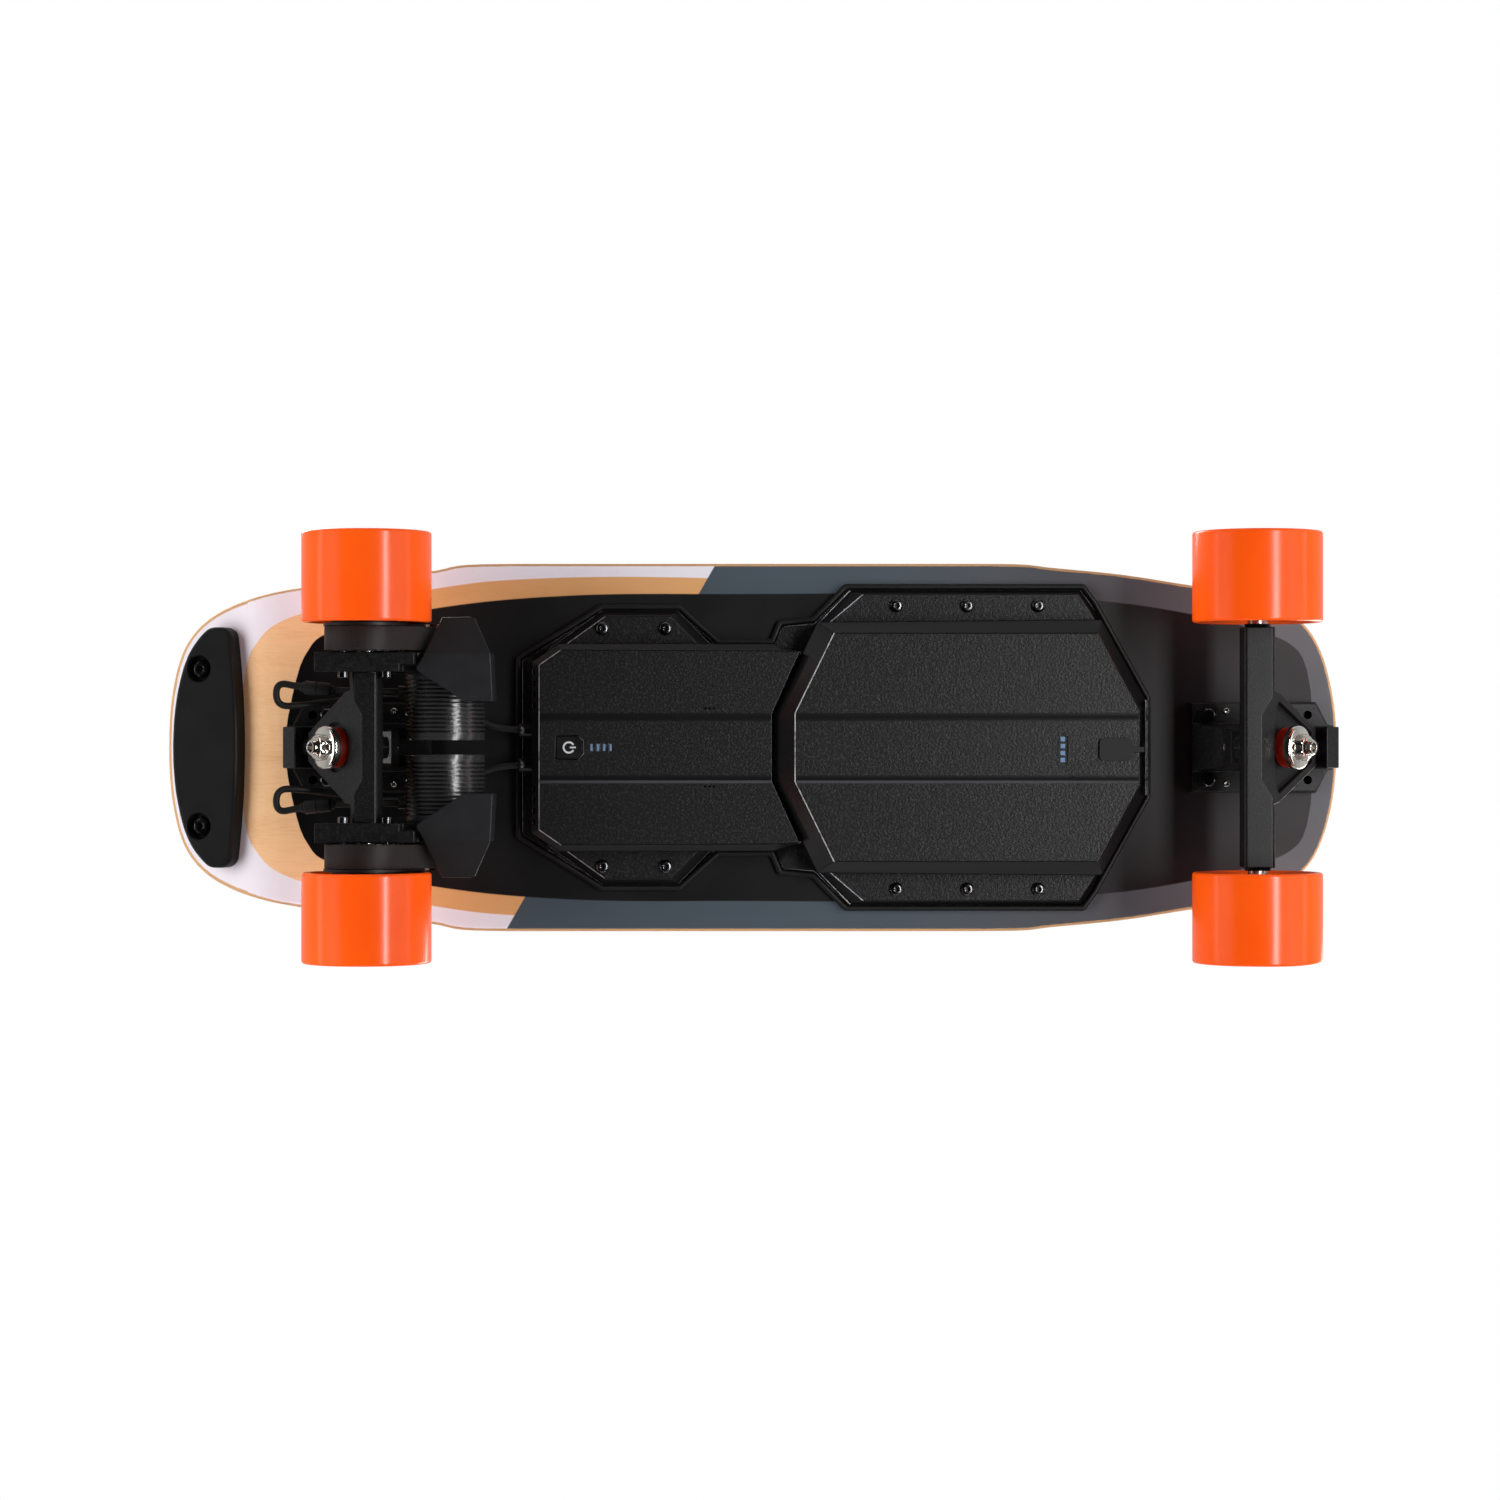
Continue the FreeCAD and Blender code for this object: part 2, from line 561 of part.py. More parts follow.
def countersunk(radius, extra):
    """The space that a truck bolt takes, with some play round it."""
    top = size("deck_bottom") + size("deck_thickness") + size("grip_thickness")
    deep = size("bolt_head_deep")
    shank = Part.makeCylinder(radius, top - size("bolt_end"), Vector(0, 0, size("bolt_end")))
    head = Part.makeCone(radius, size("bolt_head") + extra, deep, Vector(0, 0, top - deep))
    return shank.fuse(head)


def bumper_bolt_place(side):
    """The middle of a bumper bolt on the bottom face of the tail, +Z into the deck."""
    spot = Vector(-size("bumper_bolt_along"), side * size("bumper_bolt_side"), 0)
    return Placement(tail_place().multVec(spot), tail_place().Rotation)


def deck_holes():
    """Everything that is drilled out of the deck and its grip tape."""
    play = size("bolt_hole") - size("bolt_radius")
    bolt = countersunk(size("bolt_hole"), play)
    holes = [bolt.translated(spot) for spot in bolt_spots()]
    low = size("deck_bottom")
    screw = Part.makeCylinder(size("cover_screw_hole"), size("cover_screw_top") - low,
                              Vector(0, 0, low))
    holes += [screw.translated(spot) for spot in cover_screw_spots()]
    return holes


def build_deck():
    """The maple deck and the grip tape on top of it."""
    thick = size("deck_thickness")
    board = kicked_board(0, 0, thick)
    board = board.makeFillet(size("edge_round"), rim_edges(board))
    holes = deck_holes() + [bumper_bolt_hole(side) for _, side in SIDES]
    node("deck", solid("deck", board.cut(holes)))
    tape = kicked_board(size("grip_inset"), thick, thick + size("grip_thickness"))
    node("grip_tape", solid("grip_tape", tape.cut(holes)))


def rim_edges(shape):
    """The edges where the top and the bottom of a board meet its side."""
    rim = []
    for edge in shape.Edges:
        middle = edge.valueAt((edge.FirstParameter + edge.LastParameter) / 2)
        across = abs(middle.y) < size("edge_round") and abs(middle.x) < size("bend_reach")
        if edge.Length > 2 * size("deck_thickness") and not across:
            rim.append(edge)
    return rim


def bumper_bolt_hole(side):
    """A blind hole in the tail for one bumper bolt."""
    hole = Part.makeCylinder(size("bolt_radius"), size("bumper_bolt_bite"))
    hole.Placement = bumper_bolt_place(side)
    return hole


def bumper_plan():
    """The bumper's outline as a column: the deck's edge, a bowed inner side, round corners."""
    reach = size("deck_length")
    half = size("bumper_half")
    corner = -size("bumper_inner") - size("bumper_bow")
    ends = [Vector(corner, side * half, 0) for side in (1, -1)]
    far = [Vector(-reach, side * half, 0) for side in (-1, 1)]
    inner = Part.Arc(ends[0], Vector(-size("bumper_inner"), 0, 0), ends[1]).toShape()
    sides = Part.makePolygon([ends[1]] + far + [ends[0]])
    keep = Part.Face(Part.Wire([inner] + sides.Edges))
    column = deck_face(size("bumper_inset")).common(keep).extrude(Vector(0, 0, reach))
    rounds = ((size("bumper_inner_corner"), corner), (size("bumper_outer_corner"), None))
    for radius, place in rounds:
        edges = [edge for edge in column.Edges
                 if edge.Length > reach / 2 and abs(abs(edge.CenterOfMass.y) - half) < TOUCH
                 and (place is None or abs(edge.CenterOfMass.x - place) < TOUCH)]
        column = column.makeFillet(radius, edges)
    return column


def build_bumper():
    """The rubber block under the tail, its bolt pockets and its two bolts."""
    block_shape = bumper_plan().common(kicked_slab(-size("bumper_thick"), 0))
    tools = []
    bolts = []
    for _, side in SIDES:
        place = bumper_bolt_place(side)
        tool = Part.makeCylinder(size("bumper_bolt_pocket"), size("bumper_bolt_depth"),
                                 Vector(0, 0, -size("bumper_thick")))
        tool = tool.fuse(Part.makeCylinder(size("bolt_radius"), size("bumper_thick"),
                                           Vector(0, 0, -size("bumper_thick"))))
        tool.Placement = place
        tools.append(tool)
        bolts.append(place)
    node("tail_bumper", solid("tail_bumper", block_shape.cut(tools)))
    head_low = size("bumper_bolt_depth") - size("bumper_thick")
    head = hexagon("bolt_head", "bumper_bolt_across",
                   "bumper_bolt_depth-bumper_thick-bumper_bolt_head",
                   "bumper_bolt_depth-bumper_thick")
    shank = rod("bolt_radius-press_fit", "bumper_thick-bumper_bolt_depth+bumper_bolt_bite",
                ("0", "0", str(head_low)))
    bolt = fused([head, shank], "bumper_bolt")
    node("bumper_bolts", grouped([moved(bolt, place) for place in bolts], "bumper_bolts"))


# ---- trucks ------------------------------------------------------------------------------

def mirrored_points(points):
    """A symmetric outline from its left half, whose points are (x, y) formulas."""
    return list(points) + [(x, "-(%s)" % y) for x, y in reversed(points)]


def plate_outline(lip):
    """The truck plate seen from above, with an extra lip all round."""
    half = "plate_half+" + lip
    block_half = "block_half+" + lip
    return mirrored_points((("-plate_inner-" + lip, half), ("plate_outer+" + lip, half),
                            ("block_inner+" + lip, block_half),
                            ("block_outer+" + lip, block_half)))


def bolt_holes(low, high):
    """The six mounting holes of one truck, the two spare ones included."""
    length = "(%s)-(%s)" % (high, low)
    return [rod("bolt_hole", length, (x, sign + "bolt_side", low))
            for x in ("-bolt_inner", "bolt_outer", "bolt_spare") for sign in ("", "-")]


def build_riser_pads():
    """A rubber pad between the deck and each truck."""
    pad = prism("riser_pad", "XY_Plane", plate_outline("riser_lip"),
                "deck_bottom-riser_thick", "deck_bottom")
    pad = cut(pad, bolt_holes("deck_bottom-2*riser_thick", "deck_bottom+riser_thick"))
    node("riser_pads", per_truck(pad, "riser_pads"))


def kingpin_boss(name):
    """The block under the plate that the kingpin is pressed into."""
    seat = kingpin_place().multVec(Vector(0, 0, -size("seat_back")))
    slope = math.radians(size("kingpin_tilt"))
    along = Vector(math.cos(slope), 0, math.sin(slope)) * size("seat_half")
    low = seat - along * size("seat_low_share")
    high = seat + along * size("seat_high_share")
    back = str(high.x + size("boss_back"))
    plate_low = "deck_bottom-riser_thick-plate_thick"
    inner = "-plate_inner"
    side = prism(name + "_side", "XZ_Plane",
                 ((inner, plate_low + "+over"), (inner, plate_low), ("boss_knee_in", "boss_knee_height"),
                  ("boss_heel_in", "boss_heel_height"), ("boss_toe_in", "boss_toe_height"),
                  (str(low.x), str(low.z)),
                  (str(high.x), str(high.z)), (back, plate_low), (back, plate_low + "+over")),
                 "-plate_half", "plate_half")
    front = prism(name + "_front", "YZ_Plane",
                  (("boss_foot_half", plate_low + "+over"),
                   ("boss_tip_half", "boss_tip_height-boss_drop"),
                   ("-boss_tip_half", "boss_tip_height-boss_drop"),
                   ("-boss_foot_half", plate_low + "+over")),
                  "-plate_half-plate_outer", "plate_half+plate_outer")
    pad = doc.addObject("Part::Cylinder", "Seat")
    bind(pad, Radius="seat_half-seat_play", Height="seat_deep")
    start = Vector(0, 0, -size("seat_back") - size("seat_deep"))
    pad.Placement = kingpin_place().multiply(Placement(start, Rotation()))
    return fused([shared([side, front]), pad], name)


def pivot_block():
    """The block at the outer end of the plate that holds the pivot cup."""
    face = pivot_place().multVec(Vector(0, 0, size("pivot_along") - size("pivot_cup_deep")))
    half = size("pivot_cup_radius") + size("pivot_wall")
    slope = Vector(1, 0, -1).normalize() * half
    low = face + slope
    high = face - slope
    plate_low = "deck_bottom-riser_thick-plate_thick"
    lead = str(high.x - size("pivot_block_lead"))
    rise = str(low.z + size("pivot_block_rise"))
    points = ((lead, plate_low + "+over"), (str(high.x), str(high.z)),
              (str(low.x), str(low.z)), ("block_outer", rise),
              ("block_outer", plate_low + "+over"))
    return prism("pivot_block", "XZ_Plane", points, "-block_half", "block_half")


def along(place, low, radius, length):
    """A cylinder along the Z axis of a frame, from one distance on."""
    part = doc.addObject("Part::Cylinder", "Rod")
    bind(part, Radius=radius, Height=length)
    part.Placement = place.multiply(Placement(Vector(0, 0, low), Rotation()))
    return part


def build_baseplates():
    """The cast plate of each truck, with its kingpin boss and its pivot block."""
    plate_low = "deck_bottom-riser_thick-plate_thick"
    for end in ("front", "rear"):
        plate = prism(end + "_plate", "XY_Plane", plate_outline("0"), plate_low,
                      plate_low + "+plate_thick")
        whole = fused([plate, kingpin_boss(end + "_boss"), pivot_block()])
        holes = bolt_holes(plate_low + "-over", plate_low + "+plate_thick+over")
        holes += [rod("set_screw_radius", "plate_thick", ("-set_screw_in", side, plate_low + "-over"))
                  for side in ("set_screw_side", "-set_screw_side")]
        holes.append(along(kingpin_place(), -size("kingpin_root"), "kingpin_hole",
                           "kingpin_root"))
        cup_low = size("pivot_along") - size("pivot_cup_deep")
        holes.append(along(pivot_place(), cup_low - size("over"), "pivot_cup_radius",
                           "pivot_cup_deep+pivot_cup_floor+over"))
        label = end + "_baseplate"
        node(label, tied_to_truck(cut(whole, holes, label), end))


def build_truck_bolts():
    """The eight truck bolts with their nuts, and the small set screws of the plates."""
    shape = countersunk(size("bolt_radius"), 0)
    copies = [solid("truck_bolt", shape.translated(spot)) for spot in bolt_spots()]
    node("truck_bolts", grouped(copies, "truck_bolts"))
    plate_low = "deck_bottom-riser_thick-plate_thick"
    nut = cut(hexagon("truck_nut", "nut_across", plate_low + "-nut_thick", plate_low),
              [rod("bolt_radius", "nut_thick*3", ("0", "0", plate_low + "-2*nut_thick"))])
    nuts = [moved(nut, Placement(spot, Rotation())) for spot in bolt_spots()]
    node("truck_nuts", grouped(nuts, "truck_nuts"))
    screws = [rod("set_screw_radius-press_fit", "plate_thick-over",
                  ("-set_screw_in", side, plate_low + "-set_screw_proud"))
              for side in ("set_screw_side", "-set_screw_side")]
    node("plate_screws", per_truck(grouped(screws), "plate_screws"))


def build_kingpins():
    """The kingpin of each truck, its nut, its cup washers and its two rubber bushings."""
    pin = along(kingpin_place(), -size("kingpin_root"), "kingpin_radius",
                "kingpin_root+kingpin_end")
    node("kingpins", per_truck(pin, "kingpins"))
    nut = hexagon("kingpin_nut", "kingpin_nut_across", "kingpin_nut_back", "kingpin_nut_front")
    nut = cut(nut, [rod("kingpin_hole", "2*kingpin_nut_front", ("0", "0", "0"))])
    nut.Placement = kingpin_place()
    node("kingpin_nuts", per_truck(nut, "kingpin_nuts"))
    back = "-seat_back"
    front = "kingpin_nut_back-washer_thick"
    rings = []
    for low, lip_low in ((back, back + "+washer_thick"), (front, front + "-washer_lip")):
        ring = turned("cup_washer", washer_profile("kingpin_hole", "washer_radius", low,
                                                   low + "+washer_thick"))
        lip = turned("cup_lip", washer_profile("bushing_radius+cup_play", "washer_radius", lip_low,
                                               lip_low + "+washer_lip"))
        ring = fused([ring, lip])
        ring.Placement = kingpin_place()
        rings.append(ring)
    node("cup_washers", per_truck(grouped(rings), "cup_washers"))
    for end in ("front", "rear"):
        label = end + "_bushings"
        pair = []
        for low, high in (("-seat_back+washer_thick", "-ring_half-bushing_gap"),
                          ("ring_half+bushing_gap", front)):
            ring = turned("bushing", washer_profile("bushing_hole", "bushing_radius", low, high))
            ring.Placement = kingpin_place()
            pair.append(ring)
        node(label, tied_to_truck(grouped(pair, label), end))


def build_pivot_cups():
    """The urethane cup in which the hanger's pivot pin turns."""
    low = size("pivot_along") - size("pivot_cup_deep")
    cup = turned("pivot_cup", (("0", "pivot_cup_deep"), ("pivot_fit", "pivot_cup_deep"),
                               ("pivot_fit", "0"), ("pivot_cup_radius", "0"),
                               ("pivot_cup_radius", "pivot_cup_deep+pivot_cup_floor"),
                               ("0", "pivot_cup_deep+pivot_cup_floor")))
    cup.Placement = pivot_place().multiply(Placement(Vector(0, 0, low), Rotation()))
    node("pivot_cups", per_truck(cup, "pivot_cups"))


def hanger_scoop(name, floor, half):
    """What is carved out of a hanger on the nut's side of a plane across the kingpin."""
    tool = prism(name, "XY_Plane", mirrored_points(half), "-scoop_open", "-(%s)" % floor)
    tool.Placement = web_place()
    return tool


def build_hanger(end):
    """The cast hanger: an axle beam, a web with the bushing ring, and the pivot pin."""
    reach = end + "_beam_reach"
    right = end + "_beam_half"
    left = "-" + right
    beam = prism(end + "_beam", "XZ_Plane",
                 ((left, "beam_bottom+beam_bevel"), (left + "+beam_bevel", "beam_bottom"),
                  (right + "-beam_bevel", "beam_bottom"), (right, "beam_bottom+beam_bevel"),
                  (right, "beam_top-beam_bevel"), (right + "-beam_bevel", "beam_top"),
                  (left + "+beam_bevel", "beam_top"), (left, "beam_top-beam_bevel")),
                 "-" + reach, reach)
    web = prism(end + "_web", "XY_Plane",
                mirrored_points((("-web_back", "web_back_half"),
                                 ("-web_shoulder", "web_shoulder_half"),
                                 (end + "_web_tip", end + "_web_tip_half"))),
                "-web_half_thick", "web_half_thick")
    web.Placement = web_place()
    pin = along(pivot_place(), size("pivot_start"), "pivot_radius",
                "pivot_along-pivot_start-pivot_play")
    stub = "stub" if end == "front" else "barrel"
    bar = rod(stub + "_radius", "2*%s_reach" % stub, ("0", "-%s_reach" % stub, "axle_height"),
              AXIS_Y)
    tools = [along(kingpin_place(), -size("web_half_thick") * 2, "ring_hole",
                   "4*web_half_thick"),
             along(kingpin_place(), size("ring_half"), "web_recess", "2*web_half_thick"),
             along(kingpin_place(), -size("ring_half") - 2 * size("web_half_thick"),
                   "web_recess", "2*web_half_thick"),
             rod("axle_hole", "2*wheel_outer", ("0", "-wheel_outer", "axle_height"), AXIS_Y),
             hanger_scoop("beam_scoop", "web_half_thick",
                          (("-scoop_back", "scoop_back_half"), ("-scoop_side", "scoop_side_half"),
                           ("-scoop_side+scoop_flare", "scoop_open_half"),
                           ("scoop_open", "scoop_open_half")))]
    if end == "front":
        tools.append(hanger_scoop("web_pocket", "ring_half",
                                  (("-pocket_back", "pocket_back_half"),
                                   ("-pocket_side", "pocket_side_half"),
                                   ("pocket_tip", "pocket_tip_half"))))
    label = end + "_hanger"
    node(label, tied_to_truck(cut(fused([beam, web, pin, bar]), tools, label), end))


def build_axle(end):
    """The axle with its inner race sleeves and its lock nuts, one group of separate solids."""
    label = end + "_axle"
    rod_part = rod("axle_radius", "2*axle_reach", ("0", "-axle_reach", "axle_height"), AXIS_Y)
    parts = [rod_part]
    race_start = "stub_reach" if end == "front" else "barrel_reach"
    for side in (1, -1):
        sleeve = turned("race_sleeve", washer_profile("axle_hole", "sleeve_radius", race_start,
                                                      "bearing_out+bearing_thick"))
        nut = hexagon("axle_nut", "axle_nut_across", "bearing_out+bearing_thick",
                      "bearing_out+bearing_thick+axle_nut_thick")
        nut = cut(nut, [rod("axle_hole", "wheel_outer", ("0", "0", "0"))])
        for piece in (sleeve, nut):
            piece.Placement = Placement(Vector(0, 0, size("axle_height")),
                                        Rotation(AXIS_Z, Vector(0, side, 0)))
            parts.append(piece)
    node(label, tied_to_truck(grouped(parts, label), end))


# ---- wheels ------------------------------------------------------------------------------

def build_wheel(end, side_name, side):
    """A urethane tyre on a hub core with its two bearings."""
    name = "%s_%s_" % (end, side_name)
    tyre = turned(name + "tyre", (("tyre_bore", "wheel_inner"),
                                  ("wheel_radius-tyre_round", "wheel_inner"),
                                  ("wheel_radius", "wheel_inner+tyre_round"),
                                  ("wheel_radius", "wheel_outer-tyre_round"),
                                  ("wheel_radius-tyre_round", "wheel_outer"),
                                  ("tyre_bore", "wheel_outer")))
    node(name + "tyre", on_wheel(tyre, end, side))
    seat_in = "bearing_in+bearing_thick"
    seat_out = "bearing_out+bearing_thick"
    core = turned(name + "core",
                  (("bearing_radius", "bearing_in"), ("hub_radius", "bearing_in"),
                   ("hub_radius", "core_web_in"), ("rim_bore", "core_web_in"),
                   ("rim_bore", "wheel_inner+rim_inset"), ("tyre_bore", "wheel_inner+rim_inset"),
                   ("tyre_bore", "wheel_outer-rim_inset"), ("rim_bore", "wheel_outer-rim_inset"),
                   ("rim_bore", "core_web_out"), ("hub_radius", "core_web_out"),
                   ("hub_radius", seat_out), ("bearing_radius", seat_out),
                   ("bearing_radius", "bearing_out"), ("spacer_seat", "bearing_out"),
                   ("spacer_seat", seat_in), ("bearing_radius", seat_in)))
    core = notched(core, "core_hole_ring", "core_hole", "core_web_in-over", "core_web_out+over",
                   "core_hole_count")
    node(name + "core", on_wheel(core, end, side))
    rings = [turned(name + "bearing", washer_profile("sleeve_fit", "bearing_radius", low,
                                                     low + "+bearing_thick"))
             for low in ("bearing_in", "bearing_out")]
    node(name + "bearings", on_wheel(grouped(rings, name + "bearings"), end, side))


# ---- drive -------------------------------------------------------------------------------

def link_face(first_radius, second_radius, distance):
    """The outline of a belt round two circles, the first at the origin, the second on +X."""
    turn = math.acos((first_radius - second_radius) / distance)
    up = Vector(math.cos(turn), math.sin(turn), 0)
    down = Vector(math.cos(turn), -math.sin(turn), 0)
    second = Vector(distance, 0, 0)
    edges = [Part.LineSegment(up * first_radius, second + up * second_radius),
             Part.Arc(second + up * second_radius, second + Vector(second_radius, 0, 0),
                      second + down * second_radius),
             Part.LineSegment(second + down * second_radius, down * first_radius),
             Part.Arc(down * first_radius, Vector(-first_radius, 0, 0), up * first_radius)]
    return Part.Face(Part.Wire([edge.toShape() for edge in edges]))


def drive_link(first_radius, second_radius, low, high):
    """A link between the left rear wheel's axle and its motor shaft, in the board's frame."""
    lean = Vector(size("motor_in"), 0, size("motor_height") - size("axle_height"))
    face = link_face(first_radius, second_radius, lean.Length)
    link = face.extrude(Vector(0, 0, high - low))
    upright = Rotation(lean, ORIGIN, Vector(0, 1, 0), "XZY")
    link.Placement = Placement(Vector(-size("rear_axle"), low, size("axle_height")), upright)
    return link


def clamp_screw_spots():
    """The left pair of clamp screws, in the board's frame."""
    return [Vector(-size("rear_axle") + sign * size("clamp_screw_along"), 0,
                   size("clamp_screw_height")) for sign in (1, -1)]


def face_screw_spots():
    """The screws that hold the left motor to its mount, in the board's frame."""
    middle = motor_place(1).Base
    spots = []
    for number in range(int(size("face_screw_count"))):
        angle = math.radians(45 + 90 * number)
        spots.append(middle + Vector(math.cos(angle), 0, math.sin(angle)) * size("face_screw_ring"))
    return spots


def sideways(radius, low, high, spot):
    """A cylinder across the board between two distances from the middle plane."""
    return Part.makeCylinder(radius, high - low, spot + Vector(0, low, 0), AXIS_Y)


def build_motor_mounts():
    """The plates that clamp to the rear hanger and carry the motors."""
    low, high, over = size("motor_far"), size("mount_far"), size("over")
    plate = drive_link(size("mount_axle_radius"), size("mount_motor_radius"), low, high)
    axle = -size("rear_axle")
    clamp = Part.makeBox(size("mount_block_in") + size("mount_block_out"), high - low,
                         size("mount_block_high") - size("mount_block_low"),
                         Vector(axle - size("mount_block_out"), low, size("mount_block_low")))
    axle_spot = Vector(axle, 0, size("axle_height"))
    notch = tool_box((axle + size("mount_notch_from"), low - over, 0),
                     (axle + size("motor_in"), low + size("mount_notch_deep"),
                      size("mount_notch_high")))
    tools = [notch, sideways(size("mount_bore"), low - over, high + over, axle_spot),
             sideways(size("mount_shaft_hole"), low - over, high + over, motor_place(1).Base)]
    fit = size("drive_screw_fit")
    tools += [sideways(fit, low - over, high + over, spot) for spot in clamp_screw_spots()]
    head = size("drive_screw_head_long")
    wide = size("drive_screw_head") + size("head_play")
    deep = high - head - size("head_floor_play")
    for spot in face_screw_spots():
        tools.append(sideways(fit, low - over, high + over, spot))
        tools.append(sideways(wide, deep, high + over, spot))
    left = solid("left_motor_mount", plate.fuse(clamp).removeSplitter().cut(tools))
    node("left_motor_mount", left)
    node("right_motor_mount", mirrored(left, "right_motor_mount"))


def build_mount_screws():
    """The screws that clamp the mounts to the hanger and hold the motors to the mounts."""
    low, high = size("motor_far"), size("mount_far")
    head = size("drive_screw_head_long")
    screws = []
    for spot in clamp_screw_spots():
        shank = sideways(size("drive_screw_radius"), low, high + size("clamp_screw_proud"), spot)
        screws.append(shank.fuse(sideways(size("drive_screw_head"), low - head, low, spot)))
    for spot in face_screw_spots():
        shank = sideways(size("drive_screw_radius"), low - size("face_screw_bite"), high - head, spot)
        screws.append(shank.fuse(sideways(size("drive_screw_head"), high - head, high, spot)))
    screws = grouped([solid("drive_screw", shape) for shape in screws])
    pair = [screws, mirrored(screws, "right_screws")]
    node("motor_mount_screws", grouped(pair, "motor_mount_screws"))


def boot_core(side):
    """The space inside a motor can, where its cable boot may not reach."""
    return rod("motor_radius-rib_deep-boot_gap", "motor_far",
               ("motor_in-rear_axle", "0", "motor_height"), Vector(0, side, 0))


def ribbed_can():
    """The shell of a motor with its fixed winding body, about its own Z axis."""
    inner = "motor_radius-can_wall"
    floor = "motor_near+can_end"
    roof = "motor_far-can_end-stator_roof_gap"
    foot = "rotor_near+rotor_disc+stator_lift"
    can = turned("can", (("shaft_fit", "motor_near"), ("motor_radius", "motor_near"),
                         ("motor_radius", "motor_far"), ("shaft_fit", "motor_far"),
                         ("shaft_fit", roof), ("stator_bore", roof), ("stator_bore", foot),
                         ("stator_radius", foot), ("stator_radius", roof),
                         (inner, roof), (inner, floor), ("shaft_fit", floor)))
    doc.recompute()
    section = washer_profile("motor_radius-rib_deep", "motor_radius+over", "rib_start",
                             "rib_start+rib_width")
    groove = can.newObject("PartDesign::Groove", "Rib")
    groove.Profile = outline_sketch(can, "XZ_Plane", section)
    groove.ReferenceAxis = (origin_part(can, "Z_Axis"), [""])
    groove.Angle = 360
    ribs = can.newObject("PartDesign::LinearPattern", "Ribs")
    ribs.Originals = [groove]
    ribs.Direction = (origin_part(can, "Z_Axis"), [""])
    bind(ribs, Length="rib_pitch*(rib_count-1)", Occurrences="rib_count")
    can.Tip = ribs
    return can


def face_screw_holes(side):
    """The holes in a motor's outer face for the screws of its mount."""
    far = size("motor_far")
    bite = size("face_screw_bite") + size("hole_play")
    holes = []
    for spot in face_screw_spots():
        hole = sideways(size("drive_screw_fit"), far - bite, far + size("over"), spot)
        hole = hole if side > 0 else hole.mirror(ORIGIN, AXIS_Y)
        holes.append(solid("screw_hole", hole))
    return holes


def build_motor_housing(side_name, side):
    """A ribbed motor can with the boot where its cable goes in."""
    label = side_name + "_motor_housing"
    can = on_motor(ribbed_can(), side)
    boot = rod("boot_radius", "boot_long", ("-rear_axle+boot_out", "%d*boot_side" % side,
                                            "boot_height"), AXIS_X)
    node(label, fused([cut(can, face_screw_holes(side)), cut(boot, [boot_core(side)])], label))


def build_rotor(side_name, side):
    """A motor's magnet bell on its shaft, and the toothed pulley on the shaft's end."""
    label = side_name + "_motor_rotor"
    disc_top = "rotor_near+rotor_disc"
    rotor = turned(label, (("0", "shaft_near"), ("shaft_radius", "shaft_near"),
                           ("shaft_radius", "rotor_near"), ("rotor_radius", "rotor_near"),
                           ("rotor_radius", "rotor_far"), ("rotor_bore", "rotor_far"),
                           ("rotor_bore", disc_top), ("shaft_radius", disc_top),
                           ("shaft_radius", "shaft_far"), ("0", "shaft_far")))
    node(label, on_motor(rotor, side))
    label = side_name + "_motor_pulley"
    pulley = turned(label, (("pulley_shaft_hole", "pulley_near"),
                            ("motor_pulley_radius", "pulley_near"),
                            ("motor_pulley_radius", "pulley_far"), ("motor_flange", "pulley_far"),
                            ("motor_flange", "flange_far"), ("pulley_shaft_hole", "flange_far")))
    pulley = notched(pulley, "motor_pulley_radius", "tooth_gap", "pulley_near", "pulley_far",
                     "motor_teeth")
    node(label, on_motor(pulley, side))


def build_wheel_pulley(side_name, side):
    """The large pulley, whose collar is pressed into the wheel's core."""
    label = side_name + "_wheel_pulley"
    pulley = turned(label, (("pulley_bore", "pulley_near"), ("wheel_pulley_radius", "pulley_near"),
                            ("wheel_pulley_radius", "pulley_far"), ("wheel_flange", "pulley_far"),
                            ("wheel_flange", "flange_far"), ("collar_out", "flange_far"),
                            ("collar_out", "collar_reach"), ("collar_in", "collar_reach"),
                            ("collar_in", "flange_far"), ("pulley_bore", "flange_far")))
    pulley = notched(pulley, "wheel_pulley_radius", "tooth_gap", "pulley_near", "pulley_far",
                     "wheel_teeth")
    node(label, on_wheel(pulley, "rear", side))


def build_belts():
    """The drive belts, which run clear of the pulley teeth by a small gap."""
    gap, thick = size("belt_gap"), size("belt_thick")
    low, high = size("belt_near"), size("belt_far")
    inner = [size("wheel_pulley_radius") + gap, size("motor_pulley_radius") + gap]
    outer = [radius + thick for radius in inner]
    over = size("over")
    belt = drive_link(*outer, low, high).cut(drive_link(*inner, low - over, high + over))
    left = solid("left_belt", belt)
    node("left_belt", left)
    node("right_belt", mirrored(left, "right_belt"))


